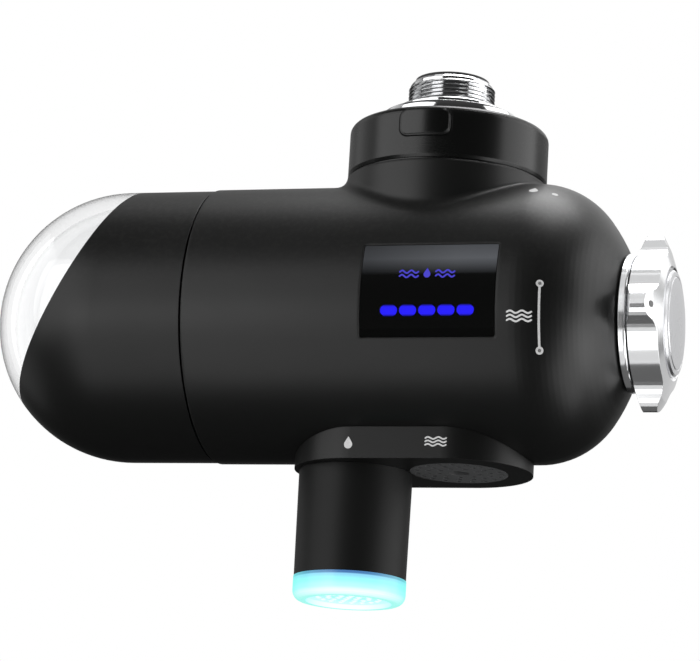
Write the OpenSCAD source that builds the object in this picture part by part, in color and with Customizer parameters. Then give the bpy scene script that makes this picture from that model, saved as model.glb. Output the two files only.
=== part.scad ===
// Faucet mount water filter: a horizontal housing hung from the faucet's mouth by a swivelling
// quick-release adapter, with a screwed cap over the cartridge at the left, a lobed selector knob
// at the right, a clear spout with a light-up tip and a spray outlet underneath.
// The frame's origin is on the neck's axis, where the faucet's mouth seats on the adapter.
// Inside a node's own module, height zero is the housing's horizontal axis.

/* [Housing] */
// Outside radius of the housing
body_r = 35; // [33:0.5:38]
// Wall of the housing
body_wall = 2.8; // [2.2:0.1:3.4]
// From the neck's axis to the seam with the cap
seam_x = 56.8; // [52:0.5:64]
// From the neck's axis to where the right end starts to curve in
end_start_x = 25.8; // [24:0.2:30]
// Depth of the curved right end
end_depth = 25.9; // [25:0.1:29]
// Radius of the right end's shoulder
end_shoulder_r = 21.5; // [19:0.5:22]
// Flat seat of the knob, from the neck's axis
knob_seat_x = 48.8; // [48:0.1:50]
// Wall behind the knob's seat
end_wall = 3.2; // [2.6:0.1:4]
// Wider collar left inside for the valve body's rim
rim_step = 0.9; // [0.6:0.1:1.2]

/* [Neck and collar] */
// Outside radius of the neck and the collar
neck_r = 25.2; // [24:0.2:27]
// Wall of the neck
neck_wall = 2.6; // [2:0.1:3]
// Rise of the neck's top above the housing's crest
neck_rise = 1.3; // [1:0.1:5]
// Height of the collar
collar_h = 14; // [13:0.1:16]
// Wall of the collar
collar_wall = 2.8; // [2.4:0.1:3.2]
// Thickness of the collar's top
collar_top_t = 2.6; // [2:0.1:3]
// Shadow groove between neck and collar
neck_groove = 0.5; // [0.3:0.05:0.8]
// Rounding at the collar's top edge
collar_round = 2; // [0.6:0.1:2.4]

/* [Adapter] */
// Outside radius of the male faucet thread
thread_r = 11; // [11:0.1:12]
// Length of the male faucet thread
thread_len = 7; // [6:0.5:9]
// Radius of the step that the faucet's mouth seats on
seat_r = 13.6; // [13:0.1:15]
// Height of that step
seat_t = 1.9; // [1.5:0.1:2.5]
// Radius of the adapter's flange over the collar
flange_r = 17.5; // [16:0.5:20]
// Height of the flange
flange_t = 3.2; // [2.5:0.1:4]
// Running gap between the flange and the collar
flange_gap = 0.6; // [0.4:0.1:1]
// Radius of the adapter's plug
plug_r = 11.4; // [11.2:0.1:11.8]
// Length of the plug below the flange
plug_len = 18; // [17.5:0.5:18.5]
// Radius of the water way
inlet_r = 5.5; // [4.5:0.1:6]
// Radius at the floor of the latch groove
latch_groove_r = 9.8; // [9.4:0.1:10.1]
// Thickness of the seal ring's cord
seal_cord = 1.36; // [1.3:0.02:1.4]

/* [Release button] */
// Width of the button
button_w = 13; // [11:0.5:14]
// Height of the button
button_h = 6.9; // [6:0.1:7.2]
// Corner radius of the button
button_corner = 2.2; // [1.5:0.1:3]
// How far the button stands out of the collar
button_proud = 0.6; // [0.3:0.1:1]
// Depth of the button's centre below the collar's top
button_down = 4.6; // [4.5:0.1:4.9]
// How far the button travels
button_travel = 1.9; // [1.7:0.1:2]
// Thickness of the latch plate
latch_t = 2.4; // [2:0.1:2.6]
// How far the latch plate reaches into the plug's groove
latch_bite = 1.2; // [1:0.1:1.4]
// Width of the latch plate behind the plug
latch_web = 4.4; // [3.5:0.1:4.6]
// Thickness of the flange that keeps the button in
ledge_t = 1.4; // [1:0.1:1.8]
// Radius of the latch spring's coil
coil_r = 1.7; // [1.4:0.1:1.9]
// Turns of the latch spring
coil_turns = 5; // [4:1:6]
// Clearance round the button and other sliding parts
slide_gap = 0.2; // [0.15:0.05:0.3]

/* [Display] */
// Width of the display's window
window_w = 33.7; // [30:0.1:36]
// Height of the display's window
window_h = 23.2; // [20:0.1:25]
// Centre of the window to the right of the neck's axis
window_x = 5.6; // [3:0.1:8]
// Centre of the window above the housing's axis
window_z = 0.4; // [0:0.1:1]
// Corner radius of the window
window_corner = 0.5; // [0.4:0.1:2]
// Thickness of the display's lens
lens_t = 1.4; // [1:0.1:1.6]
// Number of life lights
light_count = 5; // [3:1:6]
// Distance between the life lights
light_pitch = 4.76; // [4.6:0.02:4.9]
// Width of a life light
light_w = 4.1; // [3.4:0.1:4.2]
// Height of a life light
light_h = 2.7; // [2:0.1:3.2]
// Height of the lights' centre below the window's centre
light_down = 5.2; // [4:0.1:6]

/* [Cap] */
// Step in from the housing to the cap and the clear dome
cap_step = 0.3; // [0:0.1:1.5]
// From the neck's axis to the centre of the domed end
dome_x = 80.7; // [76:0.2:86]
// Thickness of the black shell over the dome
shell_t = 1.6; // [1.2:0.1:2]
// Wall of the clear dome under the shell
dome_wall = 2.2; // [2:0.1:2.6]
// Shadow gap at the seam
seam_gap = 0.6; // [0.4:0.1:0.8]
// Where the slanting edge of the shell crosses the housing's axis
cut_x = 91.3; // [88:0.2:93]
// Lean of that edge from upright, in degrees
cut_lean = 30.3; // [25:0.5:35]
// Radius of the edge's sweep
cut_r = 137; // [120:1:180]
// Length of the threaded spigot inside the cap
spigot_len = 10.5; // [10:0.5:13]
// Wall of the spigot
spigot_wall = 2.3; // [2:0.1:2.6]
// Clearance between the spigot and the dome
spigot_gap = 0.3; // [0.25:0.05:0.4]
// Cord of the cap's seal
cap_seal_cord = 1.7; // [1.5:0.1:1.8]

/* [Cartridge] */
// Space round the cartridge in the housing's spigot
cartridge_gap = 1.8; // [1:0.1:3]
// Length of the cartridge's cage
cage_len = 42; // [38:1:44]
// Wall of the cage
cage_wall = 1.8; // [1.4:0.1:2.2]
// Windows round the cage
cage_windows = 12; // [8:1:14]
// Radius of the carbon block's middle hole
carbon_hole_r = 7; // [5:0.5:9]
// Thickness of the cartridge's end cap
cartridge_cap_t = 3; // [2.5:0.1:4]
// From the end cap's edge to the ends of its cross grip
grip_inset = 12.5; // [8:0.5:16]
// Height of the cross grip
grip_h = 2.4; // [1.6:0.1:3]
// Thickness of the cross grip's bars
grip_t = 2.8; // [2:0.1:4]
// Radius of the cartridge's outlet stub
stub_r = 6; // [5.5:0.1:6.4]
// Length of the outlet stub
stub_len = 6; // [5:0.5:7]

/* [Valve] */
// Left face of the valve body's rim, from the neck's axis
rim_x = 30; // [29:0.2:31]
// Thickness of the rim
rim_t = 3; // [2.6:0.1:3.2]
// Outside radius of the valve body's barrel
barrel_r = 14; // [13.5:0.1:15]
// Radius of the valve chamber
chamber_r = 10.5; // [10:0.1:11]
// Running clearance of the rotor in the chamber
rotor_gap = 0.08; // [0.05:0.01:0.1]
// Radius of the spindle
spindle_r = 4; // [3.4:0.1:4.4]
// Running clearance of the spindle
spindle_gap = 0.08; // [0.05:0.01:0.1]
// Length of the spindle's gland
gland_len = 9; // [7:0.5:10]
// Outside radius of the tube to the spout
pure_tube_r = 7; // [6:0.1:8]
// Radius of the way to the spout
pure_way_r = 4; // [3:0.1:4.5]
// Outside radius of the tube to the spray
raw_tube_r = 5.5; // [5:0.1:6.5]
// Radius of the way to the spray
raw_way_r = 3; // [2:0.1:3.5]

/* [Outlets] */
// Half the width of the outlet base
base_half_w = 18.4; // [17:0.1:20]
// Centre of the base's rounded left end, from the neck's axis
base_left_x = 16.4; // [14:0.1:18]
// Depth of the base's flat face below the housing's lowest line
base_drop = 2.8; // [2.2:0.1:5]
// Distance of the spray's centre to the right of the neck's axis
spray_x = 7; // [6:0.1:9]
// Radius of the spray plate
spray_r = 12.2; // [11.8:0.1:12.6]
// Thickness of the spray plate
spray_t = 1.2; // [1:0.1:1.3]
// Radius of the spray plate's middle hole
spray_hole_r = 2.5; // [2:0.1:3]
// Radius of a fine spray hole
fine_hole_r = 0.65; // [0.5:0.05:0.8]
// Distance between the rings of fine holes
fine_ring = 2.7; // [2.4:0.1:2.8]

/* [Spout] */
// Distance of the spout's axis to the left of the neck's axis
spout_x = 19.5; // [18:0.1:20.5]
// Radius of the spout at its top
spout_r = 14.2; // [13.6:0.1:15]
// Radius of the spout at the tip's seam
spout_low_r = 13.95; // [13.4:0.05:14.4]
// Length of the black tube
spout_len = 26.9; // [25:0.1:30]
// Radius of the tube's inside
spout_bore_r = 11.5; // [11:0.1:12]
// Length of the clear light-up tip
tip_len = 5.8; // [5:0.1:9]
// Radius of the tip's end face
tip_end_r = 12; // [11.6:0.1:12.8]
// Height of the tip's rounded end
tip_round = 2.4; // [2:0.1:3]
// Radius of the shower plate
shower_r = 10.6; // [10:0.1:10.9]

/* [Turbine] */
// Radius of the turbine
turbine_r = 10; // [9:0.1:10.6]
// Height of the turbine's blades
blade_h = 5; // [4:0.1:5.4]
// Number of blades
blade_count = 8; // [5:1:10]
// Thickness of a blade
blade_t = 1; // [0.8:0.1:1.3]
// Lean of a blade, in degrees
blade_lean = 38; // [25:1:45]
// Radius of the turbine's hub
hub_r = 2.6; // [2.2:0.1:3]
// Radius of the axle
axle_r = 1; // [0.8:0.1:1.2]
// Running clearance on the axle
axle_gap = 0.06; // [0.04:0.01:0.1]
// Outside radius of the rotor magnet
magnet_r = 4.6; // [4:0.1:5]
// Gap between the magnet and the coil
magnet_gap = 0.6; // [0.4:0.1:0.8]

/* [Knob] */
// Radius of the knob's base disc
disc_r = 17.3; // [16.6:0.1:18]
// Thickness of the base disc
disc_t = 1.9; // [1.5:0.1:2.4]
// Gap between the base disc and the turning handle
knob_gap = 0.3; // [0.2:0.05:0.5]
// Radius of the handle between its lobes
valley_r = 17; // [16:0.1:17.6]
// Radius of the handle at a lobe's tip
lobe_r = 22.3; // [21:0.1:24]
// Number of lobes
lobe_count = 4; // [3:1:5]
// Radius of a lobe's rounded tip
lobe_tip_r = 3.6; // [3:0.1:4.5]
// Radius of the hollow beside a lobe
lobe_hollow_r = 6; // [5:0.2:8]
// From the knob's seat to the handle's front at a lobe's tip
lobe_front = 7.4; // [6.5:0.1:8]
// From the knob's seat to the handle's front at the face plate's groove
groove_front = 10.6; // [10:0.1:12]
// Radius of the face plate
face_r = 13.2; // [12:0.1:14]
// From the knob's seat to the face plate's crown
crown_front = 12.4; // [12.2:0.1:14]
// Bevel at the back of a lobe
lobe_bevel = 1.6; // [1:0.1:2]

/* [Hidden] */
$fn = 96;
nip = 0.05;                 // clearance of faces that seat on each other
over = 1;                   // how far a cutter runs past a face
slip = 0.1;                 // clearance of pieces that are pushed in place
fine_pitch = 3.4;           // distance between fine holes along a ring

// Heights above the housing's axis
neck_top = body_r + neck_rise;
collar_top = neck_top + collar_h;
flange_z = collar_top + flange_gap;
axis_drop = flange_z + flange_t + seat_t;
plug_z = flange_z - plug_len;
button_z = collar_top - button_down;
latch_z = button_z - latch_t / 2;
socket_top = latch_z - slide_gap;
collar_bore = neck_r - collar_wall;
latch_slack = 0.5;          // clearance of the latch plate's hole round the plug
latch_hole_r = plug_r + latch_slack;
latch_hole_y = -(latch_slack + latch_bite);
latch_back = latch_hole_y + latch_hole_r + latch_web;
latch_half_w = latch_hole_r - latch_hole_y;
ledge_w = button_w + 3;
ledge_gap = 0.3;            // clearance of the button's flange inside the collar
ledge_front = sqrt(pow(collar_bore - ledge_gap, 2) - pow(ledge_w / 2, 2));
latch_front = ledge_front - ledge_t;
spring_end = collar_bore - ledge_gap;
spring_drop = 0.5;          // centre of the spring below the button's
wire_r = 0.4;
ring_steps = 12;
wire_sides = 6;
washer_r = thread_r - 1.6;
washer_t = 2;
washer_sink = 1.2;
strainer_r = inlet_r + 1.1;
strainer_t = 1;
strainer_z = axis_drop + thread_len - washer_sink - 3.4;
seal_groove_h = seal_cord + 0.5;
socket_r = plug_r + 0.2;
socket_wall = 2.4;
seal_floor_r = socket_r - 0.04 - seal_cord;
seal_z = plug_z + 4;

// Display
board_h = window_h - 2.8;
board_t = 1.2;

// Cap and cartridge
cap_r = body_r - cap_step;
dome_under_r = cap_r - shell_t;
dome_in_r = dome_under_r - dome_wall;
spigot_r = dome_in_r - spigot_gap;
spigot_in_r = spigot_r - spigot_wall;
cap_rim_x = seam_x + seam_gap;
cap_seal_x = seam_x + 3.6;
cap_seal_r = spigot_r + slip + cap_seal_cord / 2;
cut_centre = [-cut_x - cut_r * cos(cut_lean), cut_r * sin(cut_lean)];
cage_right = rim_x + 0.3;
cage_left = cage_right + cage_len;
cartridge_r = spigot_in_r - cartridge_gap;
carbon_r = cartridge_r - cage_wall - 0.3;
inner_r = body_r - body_wall;
board_y = -sqrt(pow(inner_r - nip, 2) - pow(board_h / 2 + window_z, 2));

// Right end of the housing: a shoulder arc that runs into a wide arc centred on the axis
end_h = body_r - end_shoulder_r;
end_arc_r = (end_depth * end_depth + end_h * end_h - end_shoulder_r * end_shoulder_r)
          / (2 * (end_depth - end_shoulder_r));
end_arc_x = end_start_x + end_depth - end_arc_r;
end_meet = atan2(end_start_x - end_arc_x, end_h);
end_in_x = knob_seat_x - end_wall;

// Valve: the rotor ends behind the gland, with its seal between two lands
gland_x = end_in_x - gland_len;
rotor_end = gland_x - 0.4;
rotor_start = -spout_x + pure_way_r + 4.3;
rotor_land = 1.2;
seal_w = 2.4;

// Spout, from the base's flat face downward
base_z = -body_r - base_drop;
spout_end = base_z - spout_len;
tip_end = spout_end - tip_len;
spout_roof = base_z - 1.8;
guide_t = 1.6;
axle_top = spout_roof - 0.8;
blade_top = spout_roof - guide_t - 0.8;
magnet_top = blade_top - blade_h - 0.4;
magnet_h = 4.6;
coil_in_r = magnet_r + magnet_gap;
coil_top = magnet_top - 0.2;
coil_h = 4.8;
spider_t = 1.6;
coil_low = coil_top - coil_h - spider_t;
tip_sleeve_top = spout_end + 3;
fit_r = spout_bore_r - slip;
led_t = 1;
plate_t = 1.4;              // thickness of the shower plate
plate_sunk = 1.2;           // how far it lies inside the tip's end

// Knob, from its seat outward
handle_back = disc_t + knob_gap;
boss_r = 8;
spindle_end = 6.6;
screw_r = 1.5;
screw_head_r = 3.2;
face_sunk = 2.3;            // depth of the face plate's edge in the handle
face_rim = 1.9;             // width of its bevelled rim
face_step = 0.9;            // from its groove up to the foot of its crown
tip_at = lobe_r - lobe_tip_r;
hollow_at = valley_r + lobe_hollow_r;
hollow_a = acos((hollow_at * hollow_at + tip_at * tip_at - pow(lobe_tip_r + lobe_hollow_r, 2))
  / (2 * hollow_at * tip_at));
tip_span = atan2(hollow_at * sin(hollow_a), hollow_at * cos(hollow_a) - tip_at);

function arc(c, r, a0, a1, n) = [for (i = [0:n]) let (a = a0 + (a1 - a0) * i / n)
  c + r * [cos(a), sin(a)]];

// Sets a module's own frame: height zero is the housing's axis
module from_axis() { translate([0, 0, -axis_drop]) children(); }

// Turns a profile of [radius, distance along X] about the housing's axis
module about_x(profile) { rotate([0, 90, 0]) rotate_extrude() polygon(profile); }

// Turns a profile of [radius, height] about an upright axis
module about_z(profile, x = 0) { translate([x, 0, 0]) rotate_extrude() polygon(profile); }

// A cylinder along +X from one distance to another
module rod_x(r, x0, x1) { translate([x0, 0, 0]) rotate([0, 90, 0]) cylinder(r = r, h = x1 - x0); }

// A cylinder upward from one height to another
module rod_z(r, z0, z1, x = 0) { translate([x, 0, z0]) cylinder(r = r, h = z1 - z0); }

// A rounded rectangle in X and Z, standing from y0 to y1
module slab_y(w, h, corner, y0, y1, x = 0, z = 0) {
  translate([x, y1, z]) rotate([90, 0, 0]) linear_extrude(y1 - y0) {
    square([w - 2 * corner, h], center = true);
    square([w, h - 2 * corner], center = true);
    for (i = [-1, 1], j = [-1, 1])
      translate([i * (w / 2 - corner), j * (h / 2 - corner)]) circle(corner);
  }
}

// Everything inside the housing's outline, smaller by t
module housing_outline(t, left, right) {
  stop = asin((right - end_arc_x) / (end_arc_r - t));
  about_x(concat(
    [[0, left], [body_r - t, left]],
    arc([end_h, end_start_x], end_shoulder_r - t, 0, end_meet, 14),
    arc([0, end_arc_x], end_arc_r - t, end_meet, stop, 5),
    [[0, right]]));
}

// The round-ended cap's outline with an outside radius r, open at the seam
module capsule(r, right) {
  rotate([0, 90, 0]) rotate_extrude() {
    translate([0, -dome_x]) intersection() { circle(r); translate([0, -r - over]) square(r + over); }
    translate([0, -dome_x]) square([r, dome_x - right]);
  }
}

// All that lies on the clear side of the shell's slanting edge
module clear_side(shift) {
  translate([cut_centre[0], body_r + over, cut_centre[1]]) rotate([90, 0, 0])
    cylinder(r = cut_r + shift, h = 2 * (body_r + over));
}

// Outline of the base under the housing
module base_outline(r) {
  span = base_left_x + spray_x;
  translate([-base_left_x, -r]) square([span, 2 * r]);
  for (x = [-base_left_x, spray_x]) translate([x, 0]) circle(r);
}

module faucet_adapter() {
  color("silver") from_axis() difference() {
    top = axis_drop + thread_len;
    about_z([[0, plug_z], [plug_r - 1, plug_z], [plug_r, plug_z + 1],
      [plug_r, seal_z - seal_groove_h / 2], [seal_floor_r, seal_z - seal_groove_h / 2],
      [seal_floor_r, seal_z + seal_groove_h / 2], [plug_r, seal_z + seal_groove_h / 2],
      [plug_r, latch_z - 0.5], [latch_groove_r, latch_z - 0.5],
      [latch_groove_r, latch_z + latch_t + 0.5], [plug_r, latch_z + latch_t + 0.5],
      [plug_r, flange_z], [flange_r - 0.5, flange_z], [flange_r, flange_z + 0.5],
      [flange_r, flange_z + flange_t - 0.8], [flange_r - 0.8, flange_z + flange_t],
      [seat_r, flange_z + flange_t], [seat_r, axis_drop], [thread_r, axis_drop],
      [thread_r, top - 0.6], [thread_r - 0.6, top], [0, top]]);
    rod_z(inlet_r, plug_z - over, top + over);
    rod_z(strainer_r + nip, strainer_z, top + over);
    rod_z(washer_r + nip, top - washer_sink, top + over);
  }
}

module adapter_washer() {
  top = axis_drop + thread_len - washer_sink;
  color("dimgray") from_axis() difference() {
    rod_z(washer_r, top, top + washer_t);
    rod_z(strainer_r + 0.3, top - over, top + washer_t + over);
  }
}

module inlet_strainer() {
  color("gainsboro") from_axis() difference() {
    rod_z(strainer_r, strainer_z, strainer_z + strainer_t);
    for (ring = [0:3]) for (i = [0:max(0, 6 * ring - 1)])
      rotate(i * 60 / max(1, ring)) translate([ring * 1.5, 0, strainer_z - over])
        cylinder(r = 0.5, h = strainer_t + 2 * over);
  }
}

module adapter_seal() {
  color("black") from_axis() translate([0, 0, seal_z]) rotate_extrude()
    translate([seal_floor_r + seal_cord / 2, 0]) circle(seal_cord / 2);
}

module main_housing() {
  color([0.14, 0.14, 0.15]) from_axis() difference() {
    union() {
      housing_outline(0, -seam_x, knob_seat_x);
      rod_z(neck_r, 0, neck_top);
      rod_x(spigot_r, -seam_x - spigot_len, 0);
    }
    housing_outline(body_wall, -seam_x + body_wall, end_in_x);
    rod_x(spigot_in_r, -seam_x - spigot_len - over, 0);
    rod_z(neck_r - neck_wall, 0, neck_top + over);
    display_cut();
    rod_x(boss_r + slip, 0, knob_seat_x + over);
    rod_z(pure_tube_r + slip, -body_r - over, 0, -spout_x);
    rod_z(raw_tube_r + slip, -body_r - over, 0, spray_x);
  }
  color([0.14, 0.14, 0.15]) from_axis() difference() {
    rod_x(inner_r + nip, -rim_x + rim_t, -rim_x + rim_t + 2.4);
    rod_x(inner_r - rim_step, -rim_x + rim_t - over, -rim_x + rim_t + 2.4 + over);
    rod_z(neck_r - neck_wall, 0, neck_top + over);
    rod_z(pure_tube_r + slip, -body_r - over, 0, -spout_x);
  }
}

// Pocket for the lens and the opening behind it
module display_cut() {
  difference() {
    slab_y(window_w, window_h, window_corner, -body_r - over, 0, window_x, window_z);
    rod_x(body_r - lens_t - slip, -seam_x, knob_seat_x);
  }
  slab_y(window_w - 6, window_h - 6, window_corner, -body_r, 0, window_x, window_z);
}

module collar() {
  color([0.12, 0.12, 0.13]) from_axis() difference() {
    union() {
      about_z(concat(
        [[0, neck_top], [neck_r - 0.6, neck_top], [neck_r - 0.6, neck_top + neck_groove],
         [neck_r - 0.4, neck_top + neck_groove], [neck_r, neck_top + neck_groove + 0.8]],
        arc([neck_r - collar_round, collar_top - collar_round], collar_round, 0, 90, 5),
        [[0, collar_top]]));
      rod_z(neck_r - neck_wall - nip, neck_top - 3, neck_top + over);
    }
    rod_z(collar_bore, neck_top, collar_top - collar_top_t);
    rod_z(collar_bore - 1.8, neck_top - 3 - over, neck_top + over);
    rod_z(plug_r + latch_slack, neck_top, collar_top + over);
    slab_y(button_w + 2 * slide_gap, button_h + 2 * slide_gap, button_corner + slide_gap,
      -neck_r - over, button_travel + 2 * slide_gap - latch_front, 0, button_z);
  }
}

module inlet_socket() {
  low = barrel_r;
  cup = plug_z - 1.4;
  cup_r = socket_r + socket_wall;
  stem_r = inlet_r + 4.5;
  color("dimgray") from_axis() difference() {
    about_z([[0, low], [stem_r, low], [stem_r, cup - 3], [cup_r, cup], [cup_r, neck_top - 6.2],
      [neck_r - neck_wall - slip, neck_top - 6.2], [neck_r - neck_wall - slip, neck_top - 3.1],
      [cup_r, neck_top - 3.1], [cup_r, socket_top], [0, socket_top]]);
    rod_z(inlet_r, low - over, socket_top);
    rod_z(socket_r, plug_z - 0.3, socket_top + over);
  }
}

// Height at which an upright tube of radius r still clears the housing's outside
function tube_foot(r) = slip - sqrt(body_r * body_r - r * r);

module valve_body() {
  color("gray") from_axis() difference() {
    union() {
      rod_x(inner_r - slip, -rim_x, -rim_x + rim_t);
      rod_x(barrel_r, -rim_x, end_in_x);
      rod_z(inlet_r + 4.1, 0, barrel_r);
      rod_z(pure_tube_r, tube_foot(pure_tube_r), 0, -spout_x);
      rod_z(raw_tube_r, tube_foot(raw_tube_r), 0, spray_x);
    }
    rod_x(chamber_r, rotor_start - 0.3, end_in_x + over);
    rod_x(stub_r + 0.2, -rim_x - over, -spout_x);
    rod_z(pure_way_r, -body_r - over, 0, -spout_x);
    rod_z(raw_way_r, -body_r - over, 0, spray_x);
    rod_z(inlet_r, 0, barrel_r + over);
    translate([0, 0, chamber_r - 2]) rod_x(1.6, -rim_x - over, 0);
  }
}

module valve_gland() {
  color("goldenrod") from_axis() difference() {
    rod_x(chamber_r - nip, gland_x, end_in_x - 0.3);
    rod_x(spindle_r + spindle_gap, gland_x - over, end_in_x + over);
  }
}

module display_lens() {
  color([0.05, 0.05, 0.07]) from_axis() difference() {
    intersection() {
      slab_y(window_w - 0.3, window_h - 0.3, window_corner - 0.1, -body_r - over, 0, window_x, window_z);
      difference() {
        rod_x(body_r - nip, -seam_x, end_start_x);
        rod_x(body_r - lens_t, -seam_x - over, end_start_x + over);
      }
    }
    for (i = [0:light_count - 1]) life_light(i, 0.1, -body_r - over);
  }
}

// Light number i, grown by gap, from the board out to front
module life_light(i, gap, front) {
  x = window_x + (i - (light_count - 1) / 2) * light_pitch;
  slab_y(light_w + 2 * gap, light_h + 2 * gap, light_h / 2 + gap - 0.02, front, board_y,
    x, window_z - light_down);
}

module display_board() {
  color("darkgreen") from_axis()
    slab_y(window_w - 4, board_h, 0.5, board_y, board_y + board_t, window_x, window_z);
}

module display_lights() {
  color([0.15, 0.1, 1]) from_axis() intersection() {
    for (i = [0:light_count - 1]) life_light(i, 0, -body_r - over);
    rod_x(body_r - nip, -seam_x, end_start_x);
  }
}

module outlet_base() {
  color([0.13, 0.13, 0.14]) from_axis() difference() {
    translate([0, 0, base_z]) linear_extrude(-base_z) base_outline(base_half_w);
    rod_x(body_r + nip, -seam_x, knob_seat_x);
    rod_z(spray_r + slip, base_z - over, base_z + spray_t, spray_x);
    rod_z(spray_r - 0.6, base_z - over, base_z + spray_t + 0.7, spray_x);
    rod_z(raw_way_r, base_z - over, 0, spray_x);
    rod_z(pure_way_r, base_z - over, 0, -spout_x);
    rod_z(spout_bore_r, base_z - over, base_z + 1.1, -spout_x);
  }
}

module spray_plate() {
  color([0.11, 0.11, 0.12]) from_axis() translate([spray_x, 0, base_z]) difference() {
    cylinder(r = spray_r, h = spray_t);
    translate([0, 0, -over]) cylinder(r = spray_hole_r, h = spray_t + 2 * over);
    for (ring = [1:3]) {
      ring_r = spray_hole_r + ring * fine_ring;
      count = floor(2 * PI * ring_r / fine_pitch);
      for (i = [0:count - 1]) rotate((i + ring / 2) * 360 / count)
        translate([ring_r, 0, -over]) cylinder(r = fine_hole_r, h = spray_t + 2 * over, $fn = 16);
    }
  }
}

module spout_tube() {
  color([0.1, 0.1, 0.11]) from_axis() difference() {
    about_z([[0, spout_end], [spout_low_r, spout_end], [spout_r, base_z],
      [spout_bore_r - nip, base_z], [spout_bore_r - nip, base_z + 1], [0, base_z + 1]], -spout_x);
    rod_z(spout_bore_r, spout_end - over, spout_roof, -spout_x);
    rod_z(pure_way_r, spout_end - over, base_z + over + 1, -spout_x);
  }
}

// Holes for the water round the spout's axis
module water_holes(count, ring_r, hole_r, z0, z1) {
  for (i = [0:count - 1]) translate([-spout_x, 0, 0]) rotate(i * 360 / count)
    rod_z(hole_r, z0, z1, ring_r);
}

module flow_guide() {
  color("white") from_axis() difference() {
    rod_z(fit_r, spout_roof - guide_t, spout_roof, -spout_x);
    rod_z(axle_r, spout_roof - guide_t - over, axle_top, -spout_x);
    water_holes(6, 5, 1.7, spout_roof - guide_t - over, spout_roof + over);
  }
}

module turbine_axle() {
  color("silver") from_axis() rod_z(axle_r - nip, coil_low + 0.3, axle_top, -spout_x);
}

module turbine_wheel() {
  color("orange") from_axis() difference() {
    union() {
      intersection() {
        rod_z(turbine_r, blade_top - blade_h, blade_top, -spout_x);
        translate([-spout_x, 0, blade_top - blade_h / 2]) for (i = [0:blade_count - 1])
          rotate(i * 360 / blade_count) rotate([blade_lean, 0, 0])
            translate([0, -blade_t / 2, -blade_h]) cube([turbine_r + over, blade_t, 2 * blade_h]);
      }
      rod_z(hub_r, magnet_top - magnet_h, blade_top, -spout_x);
    }
    rod_z(axle_r + axle_gap, magnet_top - magnet_h - over, blade_top + over, -spout_x);
  }
}

module rotor_magnet() {
  color("dimgray") from_axis() difference() {
    rod_z(magnet_r, magnet_top - magnet_h, magnet_top, -spout_x);
    rod_z(hub_r + nip, magnet_top - magnet_h - over, magnet_top + over, -spout_x);
  }
}

module generator_coil() {
  color("chocolate") from_axis() difference() {
    rod_z(fit_r, coil_low, coil_top, -spout_x);
    rod_z(coil_in_r, coil_low + spider_t, coil_top + over, -spout_x);
    rod_z(axle_r, coil_low + 0.3, coil_top, -spout_x);
    water_holes(10, (coil_in_r + fit_r) / 2, 1.5, coil_low - over, coil_top + over);
  }
}

module led_ring() {
  color("seagreen") from_axis() {
    difference() {
      rod_z(fit_r, tip_sleeve_top, tip_sleeve_top + led_t, -spout_x);
      rod_z(shower_r - 3.4, tip_sleeve_top - over, tip_sleeve_top + led_t + over, -spout_x);
    }
    for (i = [0:5]) translate([-spout_x, 0, tip_sleeve_top - 0.8]) rotate(i * 60)
      translate([shower_r - 2.2, -0.9, 0]) cube([1.6, 1.8, 0.9]);
  }
}

module light_tip() {
  tip_r = spout_low_r + slip;
  color([0.6, 1, 1, 0.6]) from_axis() difference() {
    about_z(concat([[0, tip_end], [tip_end_r, tip_end]],
      [for (i = [1:6]) let (a = i * 15)
        [tip_end_r + (tip_r - tip_end_r) * sin(a), tip_end + tip_round * (1 - cos(a))]],
      [[tip_r, spout_end], [fit_r, spout_end], [fit_r, tip_sleeve_top], [0, tip_sleeve_top]]),
      -spout_x);
    rod_z(shower_r - 0.4, tip_end - over, tip_sleeve_top + over, -spout_x);
    rod_z(shower_r + nip, tip_end - over, tip_end + plate_sunk + plate_t, -spout_x);
  }
}

module shower_plate() {
  low = tip_end + plate_sunk;
  top = low + plate_t;
  color("whitesmoke") from_axis() difference() {
    rod_z(shower_r, low, top, -spout_x);
    for (ring = [0:3]) water_holes(max(1, 6 * ring), ring * shower_r / 4.1, 0.5, low - over, top + over);
  }
}

module knob_base() {
  color("silver") from_axis() difference() {
    union() {
      about_x(concat([[0, knob_seat_x], [disc_r, knob_seat_x]],
        arc([disc_r - 0.9, knob_seat_x + disc_t - 0.9], 0.9, 0, 90, 5),
        [[0, knob_seat_x + disc_t]]));
      rod_x(boss_r, end_in_x, knob_seat_x + over);
    }
    rod_x(spindle_r + spindle_gap, end_in_x - over, knob_seat_x + disc_t + over);
  }
}

// Outline of the handle seen from the end: each lobe is a round tip between two hollows
function lobe() = concat(
  arc(hollow_at * [cos(-hollow_a), sin(-hollow_a)], lobe_hollow_r, 180 - hollow_a, 180 - tip_span, 5),
  arc([tip_at, 0], lobe_tip_r, -tip_span + 360 / 20, tip_span - 360 / 20, 7),
  arc(hollow_at * [cos(hollow_a), sin(hollow_a)], lobe_hollow_r, 180 + tip_span, 180 + hollow_a, 5));
function turned(points, a) = [for (p = points)
  [p[0] * cos(a) - p[1] * sin(a), p[0] * sin(a) + p[1] * cos(a)]];

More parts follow.
